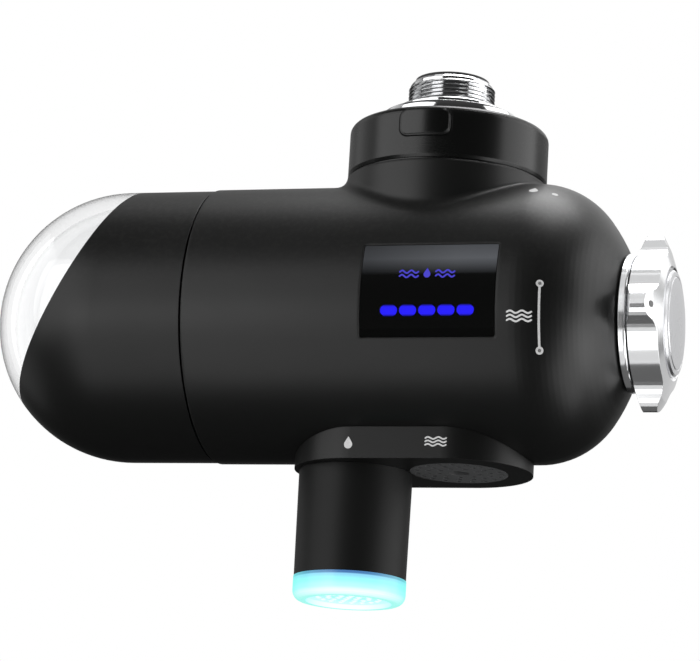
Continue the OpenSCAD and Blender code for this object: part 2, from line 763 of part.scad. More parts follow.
module knob_handle() {
  x0 = knob_seat_x + handle_back;
  x1 = knob_seat_x + lobe_front;
  xg = knob_seat_x + groove_front;
  groove_r = face_r + 0.7;
  color("silver") from_axis() difference() {
    intersection() {
      translate([x0 - over, 0, 0]) rotate([0, 90, 0]) linear_extrude(crown_front)
        union() {
          circle(valley_r);
          for (i = [0:lobe_count - 1])
            polygon(concat([[0, 0]], turned(lobe(), i * 360 / lobe_count)));
        }
      about_x([[0, x0], [valley_r + 0.6, x0], [lobe_r, x0 + lobe_bevel], [lobe_r, x1],
        [lobe_r - 2.9, x1 + 1.45], [groove_r, xg], [0, xg]]);
    }
    rod_x(face_r + nip, xg - face_sunk - slip, xg + over);
    about_x([[0, xg - 0.7], [groove_r - 0.1, xg - 0.7], [groove_r + 0.6, xg + 0.3], [0, xg + 0.3]]);
    difference() {
      rod_x(valley_r - 2.4, x0 - over, x0 + 3);
      rod_x(spindle_r + 3, x0 - 2 * over, x0 + 3 + over);
    }
    spindle_flat(nip, x0 - over, knob_seat_x + spindle_end + 0.3);
    rod_x(screw_r + 0.2, x0, xg);
  }
}

// The spindle's flatted end, grown by gap
module spindle_flat(gap, x0, x1) {
  difference() {
    rod_x(spindle_r + gap, x0, x1);
    translate([x0 - over, -spindle_r - over, spindle_r - 1 + gap])
      cube([x1 - x0 + 2 * over, 2 * (spindle_r + over), spindle_r]);
  }
}

module knob_face() {
  xg = knob_seat_x + groove_front;
  xc = knob_seat_x + crown_front;
  rise = crown_front - groove_front - face_step;
  crown_r = (pow(face_r - face_rim, 2) + rise * rise) / (2 * rise);
  span = asin((face_r - face_rim) / crown_r);
  color("gainsboro") from_axis() difference() {
    about_x(concat([[0, xg - face_sunk], [face_r, xg - face_sunk], [face_r, xg + slip],
      [face_r - face_rim / 4, xg + face_step * 2 / 3], [face_r - face_rim * 0.8, xg + face_step * 0.9],
      [face_r - face_rim * 0.85, xg + face_step * 2 / 3]],
      arc([0, xc - crown_r], crown_r, 90 - span, 90, 8)));
    rod_x(screw_head_r + 0.8, xg - face_sunk - over, xg - face_sunk / 2);
  }
}

module knob_screw() {
  xg = knob_seat_x + groove_front;
  color("silver") from_axis() {
    rod_x(screw_head_r, xg - face_sunk - nip, xg - face_sunk / 2 - nip);
    rod_x(screw_r, knob_seat_x - 1, xg - face_sunk);
  }
}

module valve_spindle() {
  color("gainsboro") from_axis() difference() {
    union() {
      rod_x(chamber_r - rotor_gap, rotor_start, rotor_end - rotor_land - seal_w);
      rod_x(spindle_r, rotor_start, knob_seat_x + disc_t);
      spindle_flat(0, knob_seat_x + disc_t - over, knob_seat_x + spindle_end);
      rod_x(chamber_r - rotor_gap, rotor_end - rotor_land, rotor_end);
    }
    rod_x(chamber_r - 2.4, rotor_start - over, rotor_end - 6);
    rod_z(inlet_r - 0.6, 0, barrel_r);
    rod_z(raw_way_r, -barrel_r, 0, spray_x);
    rod_x(screw_r + nip, knob_seat_x - 1.4, knob_seat_x + spindle_end + over);
  }
}

module spindle_seals() {
  color("black") from_axis() rotate([0, 90, 0])
    translate([0, 0, rotor_end - rotor_land - seal_w / 2]) rotate_extrude()
      translate([chamber_r - seal_w / 2 + slip, 0]) circle(seal_w / 2 - 2 * slip);
}

module cartridge_cage() {
  color("whitesmoke") from_axis() difference() {
    union() {
      rod_x(cartridge_r, -cage_left, -cage_right);
      rod_x(stub_r, -cage_right - 1, -cage_right + stub_len);
    }
    rod_x(cartridge_r - cage_wall, -cage_left - over, -cage_right - 2.4);
    rod_x(stub_r - 2, -cage_left, -cage_right + stub_len + over);
    for (row = [0:2], i = [0:cage_windows - 1]) {
      length = (cage_len - 12) / 3;
      translate([-cage_left + 3 + row * (length + 2.6), 0, 0]) rotate([i * 360 / cage_windows, 0, 0])
        translate([0, -3.6, cartridge_r - cage_wall - over]) cube([length, 7.2, cage_wall + 3]);
    }
    difference() {
      rod_x(stub_r + 1, -cage_right + stub_len - 2.6, -cage_right + stub_len - 1.2);
      rod_x(stub_r - 0.9, -cage_left, 0);
    }
  }
}

module carbon_block() {
  color([0.2, 0.2, 0.2]) from_axis() difference() {
    rod_x(carbon_r, -cage_left + 0.3, -cage_right - 2.6);
    rod_x(carbon_hole_r, -cage_left - over, 0);
  }
}

module cartridge_cap() {
  color("whitesmoke") from_axis() {
    about_x([[0, -cage_left - cartridge_cap_t], [cartridge_r - 1.2, -cage_left - cartridge_cap_t],
      [cartridge_r, -cage_left - cartridge_cap_t + 1.2], [cartridge_r, -cage_left],
      [0, -cage_left]]);
    half = cartridge_r - grip_inset;
    for (a = [0, 90]) rotate([a, 0, 0])
      translate([-cage_left - cartridge_cap_t - grip_h, -half, -grip_t / 2])
        cube([grip_h + over / 2, 2 * half, grip_t]);
  }
}

module cartridge_seal() {
  color("black") from_axis() rotate([0, 90, 0]) translate([0, 0, -cage_right + stub_len - 1.9])
    rotate_extrude() translate([stub_r - 0.35, 0]) circle(0.5);
}

module button_outline(shrink, front, back) {
  slab_y(button_w - 2 * shrink, button_h - 2 * shrink, button_corner - shrink, front, back,
    0, button_z);
}

module release_button() {
  color([0.12, 0.12, 0.13]) from_axis() {
    intersection() {
      union() {
        intersection() {
          button_outline(0, -neck_r - over, -latch_front);
          rod_z(neck_r + button_proud - 0.35, neck_top, collar_top);
        }
        button_outline(0.35, -neck_r - over, -latch_front);
      }
      rod_z(neck_r + button_proud, neck_top, collar_top);
    }
    ledge_top = collar_top - collar_top_t - slide_gap;
    ledge_low = button_z - button_h / 2 - 0.8;
    slab_y(ledge_w, ledge_top - ledge_low, 1, -ledge_front, -latch_front, 0,
      (ledge_top + ledge_low) / 2);
  }
}

module latch_plate() {
  color("silver") from_axis() difference() {
    intersection() {
      translate([-latch_half_w, -latch_front, latch_z])
        cube([2 * latch_half_w, latch_front + latch_back, latch_t]);
      rod_z(collar_bore - 0.9, latch_z, latch_z + latch_t);
    }
    translate([0, latch_hole_y, 0]) rod_z(latch_hole_r, latch_z - over, latch_z + latch_t + over);
  }
}

// A round wire wound along +Y: the rings of points that its skin runs through
function coil_ring(k, y0, y1) = let (a = k * 360 / ring_steps,
  y = y0 + wire_r + (y1 - y0 - 2 * wire_r) * k / (ring_steps * coil_turns))
  [for (s = [0:wire_sides - 1]) let (b = s * 360 / wire_sides)
    [(coil_r + wire_r * cos(b)) * cos(a), y + wire_r * sin(b), (coil_r + wire_r * cos(b)) * sin(a)]];

module latch_spring() {
  last = ring_steps * coil_turns;
  n = wire_sides;
  points = [for (k = [0:last]) each coil_ring(k, latch_back, spring_end)];
  sides = [for (k = [0:last - 1], s = [0:n - 1]) let (t = (s + 1) % n)
    [k * n + s, (k + 1) * n + s, (k + 1) * n + t, k * n + t]];
  ends = [[for (s = [0:n - 1]) s], [for (s = [n - 1:-1:0]) last * n + s]];
  color("silver") from_axis() translate([0, 0, button_z - spring_drop])
    polyhedron(points, concat(sides, ends));
}

module cap_seal() {
  color("black") from_axis() rotate([0, 90, 0]) translate([0, 0, -cap_seal_x])
    rotate_extrude() translate([cap_seal_r, 0]) circle(cap_seal_cord / 2);
}

module clear_dome() {
  groove = cap_seal_cord + 0.4;
  color([0.85, 0.9, 0.92, 0.5]) from_axis() difference() {
    union() {
      capsule(dome_under_r - nip, seam_x);
      intersection() { capsule(cap_r, seam_x); clear_side(-nip); }
    }
    capsule(dome_in_r, seam_x - over);
    difference() {
      rod_x(cap_seal_r + cap_seal_cord / 2 + 0.1, -cap_seal_x - groove / 2, -cap_seal_x + groove / 2);
      rod_x(dome_in_r - over, -cap_seal_x - groove, -cap_seal_x + groove);
    }
  }
}

module cap_shell() {
  color([0.14, 0.14, 0.15]) from_axis() difference() {
    capsule(cap_r, cap_rim_x);
    capsule(dome_under_r, seam_x - over);
    clear_side(0);
  }
}

faucet_adapter();
adapter_washer();
inlet_strainer();
adapter_seal();
main_housing();
collar();
inlet_socket();
valve_body();
valve_gland();
display_lens();
display_board();
display_lights();
outlet_base();
spray_plate();
spout_tube();
flow_guide();
turbine_axle();
generator_coil();
led_ring();
light_tip();
shower_plate();
knob_base();
cartridge_cage();
carbon_block();
cartridge_cap();
cartridge_seal();
release_button();
latch_plate();
latch_spring();
knob_handle();
knob_face();
knob_screw();
valve_spindle();
spindle_seals();
cap_seal();
clear_dome();
cap_shell();
turbine_wheel();
rotor_magnet();
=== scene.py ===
"""Looks of a faucet mount water filter.

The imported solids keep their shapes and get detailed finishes. Added here are the faucet thread, the
fillet round the neck, the printed marks, the cap's thread, the cartridge's pleated wrap, the small
lenses of the light ring and the rims of the shower's holes.

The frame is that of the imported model, in metres. Sizes in the classes are in millimetres, and their
heights are measured from the housing's horizontal axis unless a comment says otherwise.
"""

import logging
import math
from dataclasses import dataclass
from enum import Enum
from typing import Callable, Sequence

import bmesh
import bpy
from mathutils import Euler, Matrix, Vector


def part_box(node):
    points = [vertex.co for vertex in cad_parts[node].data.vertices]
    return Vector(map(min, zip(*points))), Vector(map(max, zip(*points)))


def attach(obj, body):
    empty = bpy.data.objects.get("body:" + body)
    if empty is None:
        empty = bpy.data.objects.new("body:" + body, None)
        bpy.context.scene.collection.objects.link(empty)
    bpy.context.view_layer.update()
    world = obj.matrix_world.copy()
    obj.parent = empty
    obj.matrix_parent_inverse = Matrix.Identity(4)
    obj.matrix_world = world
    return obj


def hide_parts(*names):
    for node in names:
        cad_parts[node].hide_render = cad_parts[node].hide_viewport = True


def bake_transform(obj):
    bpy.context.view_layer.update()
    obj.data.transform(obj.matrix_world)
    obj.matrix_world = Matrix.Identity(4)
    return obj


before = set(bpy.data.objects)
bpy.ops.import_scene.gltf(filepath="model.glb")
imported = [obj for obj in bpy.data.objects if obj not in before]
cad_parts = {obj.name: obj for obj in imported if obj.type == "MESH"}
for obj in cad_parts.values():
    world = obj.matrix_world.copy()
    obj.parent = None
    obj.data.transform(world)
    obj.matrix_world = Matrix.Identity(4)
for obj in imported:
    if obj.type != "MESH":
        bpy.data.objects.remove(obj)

LOG = logging.getLogger("water_filter")
MM = 0.001
AXIS_HEIGHT = -56.0
Colour = tuple[float, float, float]
Spot = tuple[float, float, float]
Flat = tuple[float, float]


class Body(Enum):
    """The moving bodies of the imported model."""

    ADAPTER = "adapter"
    HOUSING = "housing"
    BUTTON = "button"
    SELECTOR = "selector"
    CAP = "cap"


class Axis(Enum):
    """The axis that turned marks and threads run round."""

    X = "x"
    Z = "z"


def row(x: float, y: float, height: float) -> Vector:
    """Returns a point of the row frame in metres, from millimetres and a height above the housing's axis."""
    return Vector((x, y, height + AXIS_HEIGHT)) * MM


class ShaderTree:
    """Short calls for adding and joining the nodes of a material or of a node group."""

    def __init__(self, tree: bpy.types.NodeTree) -> None:
        """Keeps the tree that nodes are added to."""
        self.tree = tree

    def add(self, kind: str, **settings: object) -> bpy.types.Node:
        """Adds one node.

        Args:
            kind: The node's type name.
            settings: Properties of the node by name.

        Returns:
            The new node.
        """
        node = self.tree.nodes.new(kind)
        for name, value in settings.items():
            setattr(node, name, value)
        return node

    def link(self, source: bpy.types.NodeSocket, target: bpy.types.NodeSocket) -> None:
        """Joins an output to an input."""
        self.tree.links.new(source, target)

    def feed(self, target: bpy.types.NodeSocket, value: object) -> None:
        """Gives an input either a link or a plain value.

        Args:
            target: The input socket.
            value: An output socket, or a number, colour or vector.
        """
        if isinstance(value, bpy.types.NodeSocket):
            self.link(value, target)
        else:
            target.default_value = value

    def maths(self, operation: str, first: object, second: object = 0.0,
              clamp: bool = False) -> bpy.types.NodeSocket:
        """Adds a Math node.

        Args:
            operation: The node's operation, such as MULTIPLY.
            first: The first input, a socket or a number.
            second: The second input, a socket or a number.
            clamp: Whether the result is kept between 0 and 1.

        Returns:
            The node's output.
        """
        node = self.add("ShaderNodeMath", operation=operation, use_clamp=clamp)
        self.feed(node.inputs[0], first)
        self.feed(node.inputs[1], second)
        return node.outputs[0]

    def noise(self, place: object, scale: object, detail: float = 2.0) -> bpy.types.NodeSocket:
        """Adds a Noise Texture.

        Args:
            place: The coordinates, a socket.
            scale: The scale, a socket or a number.
            detail: Octaves of the noise.

        Returns:
            The noise's factor output.
        """
        node = self.add("ShaderNodeTexNoise")
        self.feed(node.inputs["Vector"], place)
        self.feed(node.inputs["Scale"], scale)
        node.inputs["Detail"].default_value = detail
        return node.outputs["Fac"]

    def spread(self, value: bpy.types.NodeSocket, low: object, high: object,
               start: float = 0.0, stop: float = 1.0) -> bpy.types.NodeSocket:
        """Maps a value from one range to another.

        Args:
            value: The input socket.
            low: The result at start, a socket or a number.
            high: The result at stop, a socket or a number.
            start: Low end of the input's range.
            stop: High end of the input's range.

        Returns:
            The mapped value.
        """
        node = self.add("ShaderNodeMapRange")
        self.feed(node.inputs["Value"], value)
        self.feed(node.inputs["From Min"], start)
        self.feed(node.inputs["From Max"], stop)
        self.feed(node.inputs["To Min"], low)
        self.feed(node.inputs["To Max"], high)
        return node.outputs["Result"]

    def blend(self, factor: object, first: object, second: object,
              mode: str = "MIX") -> bpy.types.NodeSocket:
        """Mixes two colours.

        Args:
            factor: Share of the second colour, a socket or a number.
            first: The first colour.
            second: The second colour.
            mode: The node's blend type.

        Returns:
            The mixed colour.
        """
        node = self.add("ShaderNodeMix", data_type="RGBA", blend_type=mode)
        self.feed(node.inputs["Factor"], factor)
        self.feed(node.inputs[6], first)
        self.feed(node.inputs[7], second)
        return node.outputs[2]


class SharedEffects:
    """The shader node groups that more than one finish places, each with its own values."""

    def __init__(self) -> None:
        """Builds every group once."""
        self.grain = self._grain()
        self.tone = self._tone()
        self.film = self._film()
        self.turning = self._turning()
        self.edges = self._edges()
        self.dust = self._dust()

    @staticmethod
    def _open(name: str, inputs: Sequence[tuple[str, str, object]],
              outputs: Sequence[tuple[str, str]]) -> tuple[ShaderTree, bpy.types.Node, bpy.types.Node]:
        """Starts a group with named sockets.

        Args:
            name: The group's name.
            inputs: Name, kind and default of each input; kind is Float, Vector or Color.
            outputs: Name and kind of each output.

        Returns:
            The tree, its input node and its output node.
        """
        group = bpy.data.node_groups.new(name, "ShaderNodeTree")
        for label, kind, value in inputs:
            socket = group.interface.new_socket(label, in_out="INPUT", socket_type=f"NodeSocket{kind}")
            if value is not None:
                socket.default_value = value
        for label, kind in outputs:
            group.interface.new_socket(label, in_out="OUTPUT", socket_type=f"NodeSocket{kind}")
        tree = ShaderTree(group)
        return tree, tree.add("NodeGroupInput"), tree.add("NodeGroupOutput")

    def _grain(self) -> bpy.types.NodeTree:
        """Returns the fine pebbled grain that a textured mould leaves."""
        tree, start, end = self._open(
            "mould_grain", [("Vector", "Vector", None), ("Scale", "Float", 2500.0), ("Soften", "Float", 0.5)],
            [("Height", "Float")])
        pebble = tree.add("ShaderNodeTexVoronoi", feature="SMOOTH_F1")
        tree.link(start.outputs["Vector"], pebble.inputs["Vector"])
        tree.link(start.outputs["Scale"], pebble.inputs["Scale"])
        tree.link(start.outputs["Soften"], pebble.inputs["Smoothness"])
        fine = tree.noise(start.outputs["Vector"], tree.maths("MULTIPLY", start.outputs["Scale"], 2.3))
        slow = tree.noise(start.outputs["Vector"], tree.maths("MULTIPLY", start.outputs["Scale"], 0.12))
        height = tree.maths("ADD", tree.maths("MULTIPLY", pebble.outputs["Distance"], 0.55),
                            tree.maths("MULTIPLY", fine, 0.3))
        height = tree.maths("ADD", height, tree.maths("MULTIPLY", slow, 0.25))
        tree.link(height, end.inputs["Height"])
        return tree.tree

    def _tone(self) -> bpy.types.NodeTree:
        """Returns slow drift of a colour over a surface."""
        tree, start, end = self._open(
            "tone_drift", [("Vector", "Vector", None), ("Color", "Color", (0.5, 0.5, 0.5, 1.0)),
                           ("Spread", "Float", 0.1), ("Scale", "Float", 40.0)], [("Color", "Color")])
        cloud = tree.noise(start.outputs["Vector"], start.outputs["Scale"], 4.0)
        speck = tree.noise(start.outputs["Vector"], tree.maths("MULTIPLY", start.outputs["Scale"], 31.0), 1.0)
        both = tree.maths("ADD", tree.maths("MULTIPLY", cloud, 0.7), tree.maths("MULTIPLY", speck, 0.3))
        centred = tree.maths("SUBTRACT", both, 0.5)
        factor = tree.maths("ADD", tree.maths("MULTIPLY", centred, start.outputs["Spread"]), 1.0)
        scaled = tree.add("ShaderNodeVectorMath", operation="SCALE")
        tree.link(start.outputs["Color"], scaled.inputs[0])
        tree.link(factor, scaled.inputs["Scale"])
        tree.link(scaled.outputs[0], end.inputs["Color"])
        return tree.tree

    def _film(self) -> bpy.types.NodeTree:
        """Returns uneven gloss: a faint handled film with hairline marks."""
        tree, start, end = self._open(
            "gloss_film", [("Vector", "Vector", None), ("Base", "Float", 0.4), ("Spread", "Float", 0.1),
                           ("Scale", "Float", 60.0)], [("Value", "Float")])
        cloud = tree.noise(start.outputs["Vector"], start.outputs["Scale"], 5.0)
        stretch = tree.add("ShaderNodeVectorMath", operation="MULTIPLY")
        tree.link(start.outputs["Vector"], stretch.inputs[0])
        stretch.inputs[1].default_value = (1.0, 9.0, 13.0)
        hair = tree.noise(stretch.outputs[0], tree.maths("MULTIPLY", start.outputs["Scale"], 6.0), 3.0)
        both = tree.maths("ADD", tree.maths("MULTIPLY", cloud, 0.75), tree.maths("MULTIPLY", hair, 0.25))
        drift = tree.maths("MULTIPLY", tree.maths("SUBTRACT", both, 0.5), start.outputs["Spread"])
        tree.link(tree.maths("ADD", start.outputs["Base"], drift, clamp=True), end.inputs["Value"])
        return tree.tree

    def _turning(self) -> bpy.types.NodeTree:
        """Returns fine rings round an axis, as a lathe or a polishing wheel leaves."""
        tree, start, end = self._open(
            "turning_rings", [("Vector", "Vector", None), ("Centre", "Vector", (0.0, 0.0, 0.0)),
                              ("Across", "Vector", (0.0, 1.0, 1.0)), ("Scale", "Float", 9000.0)],
            [("Height", "Float")])
        offset = tree.add("ShaderNodeVectorMath", operation="SUBTRACT")
        tree.link(start.outputs["Vector"], offset.inputs[0])
        tree.link(start.outputs["Centre"], offset.inputs[1])
        across = tree.add("ShaderNodeVectorMath", operation="MULTIPLY")
        tree.link(offset.outputs[0], across.inputs[0])
        tree.link(start.outputs["Across"], across.inputs[1])
        length = tree.add("ShaderNodeVectorMath", operation="LENGTH")
        tree.link(across.outputs[0], length.inputs[0])
        rings = tree.add("ShaderNodeTexNoise", noise_dimensions="1D")
        tree.link(length.outputs["Value"], rings.inputs["W"])
        tree.link(start.outputs["Scale"], rings.inputs["Scale"])
        rings.inputs["Detail"].default_value = 3.0
        tree.link(rings.outputs["Fac"], end.inputs["Height"])
        return tree.tree

    def _edges(self) -> bpy.types.NodeTree:
        """Returns a softened normal at sharp edges and a mask of those edges."""
        tree, start, end = self._open(
            "soft_edges", [("Radius", "Float", 0.0003), ("Gain", "Float", 3.0)],
            [("Normal", "Vector"), ("Mask", "Float")])
        bevel = tree.add("ShaderNodeBevel", samples=4)
        tree.link(start.outputs["Radius"], bevel.inputs["Radius"])
        face = tree.add("ShaderNodeNewGeometry")
        dot = tree.add("ShaderNodeVectorMath", operation="DOT_PRODUCT")
        tree.link(bevel.outputs["Normal"], dot.inputs[0])
        tree.link(face.outputs["Normal"], dot.inputs[1])
        turned = tree.maths("SUBTRACT", 1.0, dot.outputs["Value"])
        tree.link(bevel.outputs["Normal"], end.inputs["Normal"])
        tree.link(tree.maths("MULTIPLY", turned, start.outputs["Gain"], clamp=True), end.inputs["Mask"])
        return tree.tree

    def _dust(self) -> bpy.types.NodeTree:
        """Returns a mask of the faint dust that settles on faces that look up."""
        tree, start, end = self._open(
            "settled_dust", [("Vector", "Vector", None), ("Amount", "Float", 0.1), ("Scale", "Float", 900.0)],
            [("Mask", "Float")])
        face = tree.add("ShaderNodeNewGeometry")
        part = tree.add("ShaderNodeSeparateXYZ")
        tree.link(face.outputs["Normal"], part.inputs[0])
        up = tree.maths("MAXIMUM", part.outputs["Z"], 0.0)
        specks = tree.noise(start.outputs["Vector"], start.outputs["Scale"], 3.0)
        sharp = tree.spread(specks, 0.2, 1.0, 0.45, 0.7)
        mask = tree.maths("MULTIPLY", tree.maths("MULTIPLY", up, sharp), start.outputs["Amount"])
        tree.link(mask, end.inputs["Mask"])
        return tree.tree


EFFECTS = SharedEffects()


class Finish:
    """Base of every finish: opens a material and closes it with its surface shader."""

    name: str

    def open(self) -> tuple[bpy.types.Material, ShaderTree, bpy.types.NodeSocket, bpy.types.Node]:
        """Starts the material.

        Returns:
            The material, its tree, the Object coordinates and the Principled shader.
        """
        material = bpy.data.materials.new(self.name)
        material.use_nodes = True
        material.node_tree.nodes.clear()
        tree = ShaderTree(material.node_tree)
        output = tree.add("ShaderNodeOutputMaterial")
        surface = tree.add("ShaderNodeBsdfPrincipled")
        tree.link(surface.outputs["BSDF"], output.inputs["Surface"])
        place = tree.add("ShaderNodeTexCoord").outputs["Object"]
        return material, tree, place, surface

    @staticmethod
    def effect(tree: ShaderTree, group: bpy.types.NodeTree, **values: object) -> bpy.types.Node:
        """Places a shared group with its values.

        Args:
            tree: The tree that the group goes into.
            group: The shared group.
            values: A socket or a value for each input, by name.

        Returns:
            The group's node.
        """
        node = tree.add("ShaderNodeGroup", node_tree=group)
        for name, value in values.items():
            tree.feed(node.inputs[name], value)
        return node

    def relief(self, tree: ShaderTree, surface: bpy.types.Node, height: bpy.types.NodeSocket,
               depth_mm: float, edge_mm: float) -> bpy.types.NodeSocket:
        """Feeds a fine relief and softened edges to the shader's normal.

        Args:
            tree: The material's tree.
            surface: The Principled shader.
            height: The relief, 0 to 1.
            depth_mm: Depth of the relief.
            edge_mm: Radius that sharp edges look rounded to.

        Returns:
            The mask of the sharp edges.
        """
        soft = self.effect(tree, EFFECTS.edges, Radius=edge_mm * MM)
        bump = tree.add("ShaderNodeBump")
        bump.inputs["Strength"].default_value = 1.0
        bump.inputs["Distance"].default_value = depth_mm * MM
        tree.link(height, bump.inputs["Height"])
        tree.link(soft.outputs["Normal"], bump.inputs["Normal"])
        tree.link(bump.outputs["Normal"], surface.inputs["Normal"])
        return soft.outputs["Mask"]

    def make(self) -> bpy.types.Material:
        """Builds the material; each finish has its own."""
        raise NotImplementedError


@dataclass(frozen=True)
class MouldedPlastic(Finish):
    """Opaque moulded plastic with grain, drift of tone, lighter edges and settled dust. Lighter edges stand for wear at
    small values, and at the button's strong value they are a painted highlight.
    """

    name: str
    colour: Colour
    roughness: float = 0.42
    gloss_spread: float = 0.12
    grain_scale: float = 2600.0
    grain_mm: float = 0.006
    tone_spread: float = 0.25
    specular: float = 0.4
    edge_mm: float = 0.25
    # Edge lightening: wear at small values, a painted highlight round the edges at the button's strong value.
    edge_wear_and_highlight: float = 0.25
    dust: float = 0.05
    coat: float = 0.0

    def make(self) -> bpy.types.Material:
        """Returns the plastic's material."""
        material, tree, place, surface = self.open()
        grain = self.effect(tree, EFFECTS.grain, Vector=place, Scale=self.grain_scale)
        tone = self.effect(tree, EFFECTS.tone, Vector=place, Color=(*self.colour, 1.0), Spread=self.tone_spread)
        film = self.effect(tree, EFFECTS.film, Vector=place, Base=self.roughness, Spread=self.gloss_spread)
        dust = self.effect(tree, EFFECTS.dust, Vector=place, Amount=self.dust)
        edge = self.relief(tree, surface, grain.outputs["Height"], self.grain_mm, self.edge_mm)
        # Edges are lightened: a little stands for wear, and the button's strong setting is a painted highlight line
        # round its edges.
        wear_and_highlight_colour = tuple(min(1.0, c * 1.6 + 0.02) for c in self.colour)
        edge_lightened = tree.blend(tree.maths("MULTIPLY", edge, self.edge_wear_and_highlight), tone.outputs["Color"], (*wear_and_highlight_colour, 1.0))
        dusty = tree.blend(dust.outputs["Mask"], edge_lightened, (0.32, 0.31, 0.3, 1.0))
        tree.link(dusty, surface.inputs["Base Color"])
        tree.link(film.outputs["Value"], surface.inputs["Roughness"])
        surface.inputs["Specular IOR Level"].default_value = self.specular
        surface.inputs["Coat Weight"].default_value = self.coat
        surface.inputs["Coat Roughness"].default_value = 0.12
        return material


@dataclass(frozen=True)
class SmokedLens(Finish):
    """Glossy smoked plastic with a painted reflection: a paler band painted into its colour under its top edge,
    stronger towards its right end.
    """

    name: str
    colour: Colour = (0.004, 0.0042, 0.004)
    # Colour of the painted reflection under the top edge, then the heights of its band and where it fades along the
    # lens.
    painted_reflection: Colour = (0.185, 0.195, 0.215)
    reflection_band: Flat = (4.0, 8.2)
    top: float = 14.0
    sides: Flat = (-10.0, 12.0)

    def make(self) -> bpy.types.Material:
        """Returns the lens's material."""
        material, tree, place, surface = self.open()
        part = tree.add("ShaderNodeSeparateXYZ")
        tree.link(place, part.inputs[0])
        height = tree.maths("SUBTRACT", part.outputs["Z"], AXIS_HEIGHT * MM)
        # Painted reflection: a paler band under the top edge, fading towards the top and towards the left end.
        inside = tree.spread(height, 0.0, 1.0, self.reflection_band[0] * MM, self.reflection_band[1] * MM)
        away = tree.spread(height, 1.0, 0.45, self.reflection_band[1] * MM, self.top * MM)
        along = tree.spread(part.outputs["X"], 0.5, 1.0, self.sides[0] * MM, self.sides[1] * MM)
        reflection_share = tree.maths("MULTIPLY", tree.maths("MULTIPLY", inside, away), along)
        tone = self.effect(tree, EFFECTS.tone, Vector=place, Color=(*self.colour, 1.0), Spread=0.2, Scale=90.0)
        film = self.effect(tree, EFFECTS.film, Vector=place, Base=0.08, Spread=0.03)
        grain = self.effect(tree, EFFECTS.grain, Vector=place, Scale=2600.0)
        self.relief(tree, surface, grain.outputs["Height"], 0.0002, 0.1)
        tree.link(tree.blend(reflection_share, tone.outputs["Color"], (*self.painted_reflection, 1.0)), surface.inputs["Base Color"])
        tree.link(film.outputs["Value"], surface.inputs["Roughness"])
        surface.inputs["Coat Weight"].default_value = 0.5
        return material


@dataclass(frozen=True)
class PlatedMetal(Finish):
    """Plated or turned metal with polishing rings, hairlines and slightly uneven gloss."""

    name: str
    colour: Colour
    roughness: float = 0.12
    gloss_spread: float = 0.1
    ring_scale: float = 7000.0
    ring_mm: float = 0.0008
    about: Axis = Axis.X
    centre: Spot = (0.0, 0.0, AXIS_HEIGHT)
    edge_mm: float = 0.2
    tarnish: float = 0.06

    def make(self) -> bpy.types.Material:
        """Returns the metal's material."""
        material, tree, place, surface = self.open()
        across = (0.0, 1.0, 1.0) if self.about is Axis.X else (1.0, 1.0, 0.0)
        rings = self.effect(tree, EFFECTS.turning, Vector=place, Scale=self.ring_scale, Across=across,
                            Centre=tuple(c * MM for c in self.centre))
        tone = self.effect(tree, EFFECTS.tone, Vector=place, Color=(*self.colour, 1.0), Spread=self.tarnish)
        film = self.effect(tree, EFFECTS.film, Vector=place, Base=self.roughness, Spread=self.gloss_spread,
                           Scale=120.0)
        edge = self.relief(tree, surface, rings.outputs["Height"], self.ring_mm, self.edge_mm)
        bright = tuple(min(1.0, c * 1.08) for c in self.colour)
        edge_lightened = tree.blend(tree.maths("MULTIPLY", edge, 0.5), tone.outputs["Color"], (*bright, 1.0))
        tree.link(edge_lightened, surface.inputs["Base Color"])
        tree.link(film.outputs["Value"], surface.inputs["Roughness"])
        surface.inputs["Metallic"].default_value = 1.0
        return material


@dataclass(frozen=True)
class SoftRubber(Finish):
    """Matt moulded rubber of the seals and the washer, with bloom."""

    name: str
    colour: Colour = (0.022, 0.022, 0.023)
    roughness: float = 0.7

    def make(self) -> bpy.types.Material:
        """Returns the rubber's material."""
        material, tree, place, surface = self.open()
        grain = self.effect(tree, EFFECTS.grain, Vector=place, Scale=5200.0, Soften=0.8)
        tone = self.effect(tree, EFFECTS.tone, Vector=place, Color=(*self.colour, 1.0), Spread=0.5, Scale=150.0)
        film = self.effect(tree, EFFECTS.film, Vector=place, Base=self.roughness, Spread=0.2)
        dust = self.effect(tree, EFFECTS.dust, Vector=place, Amount=0.2, Scale=2500.0)
        self.relief(tree, surface, grain.outputs["Height"], 0.01, 0.1)
        bloom = tree.blend(dust.outputs["Mask"], tone.outputs["Color"], (0.2, 0.2, 0.2, 1.0))
        tree.link(bloom, surface.inputs["Base Color"])
        tree.link(film.outputs["Value"], surface.inputs["Roughness"])
        surface.inputs["Specular IOR Level"].default_value = 0.25
        surface.inputs["Sheen Weight"].default_value = 0.15
        return material


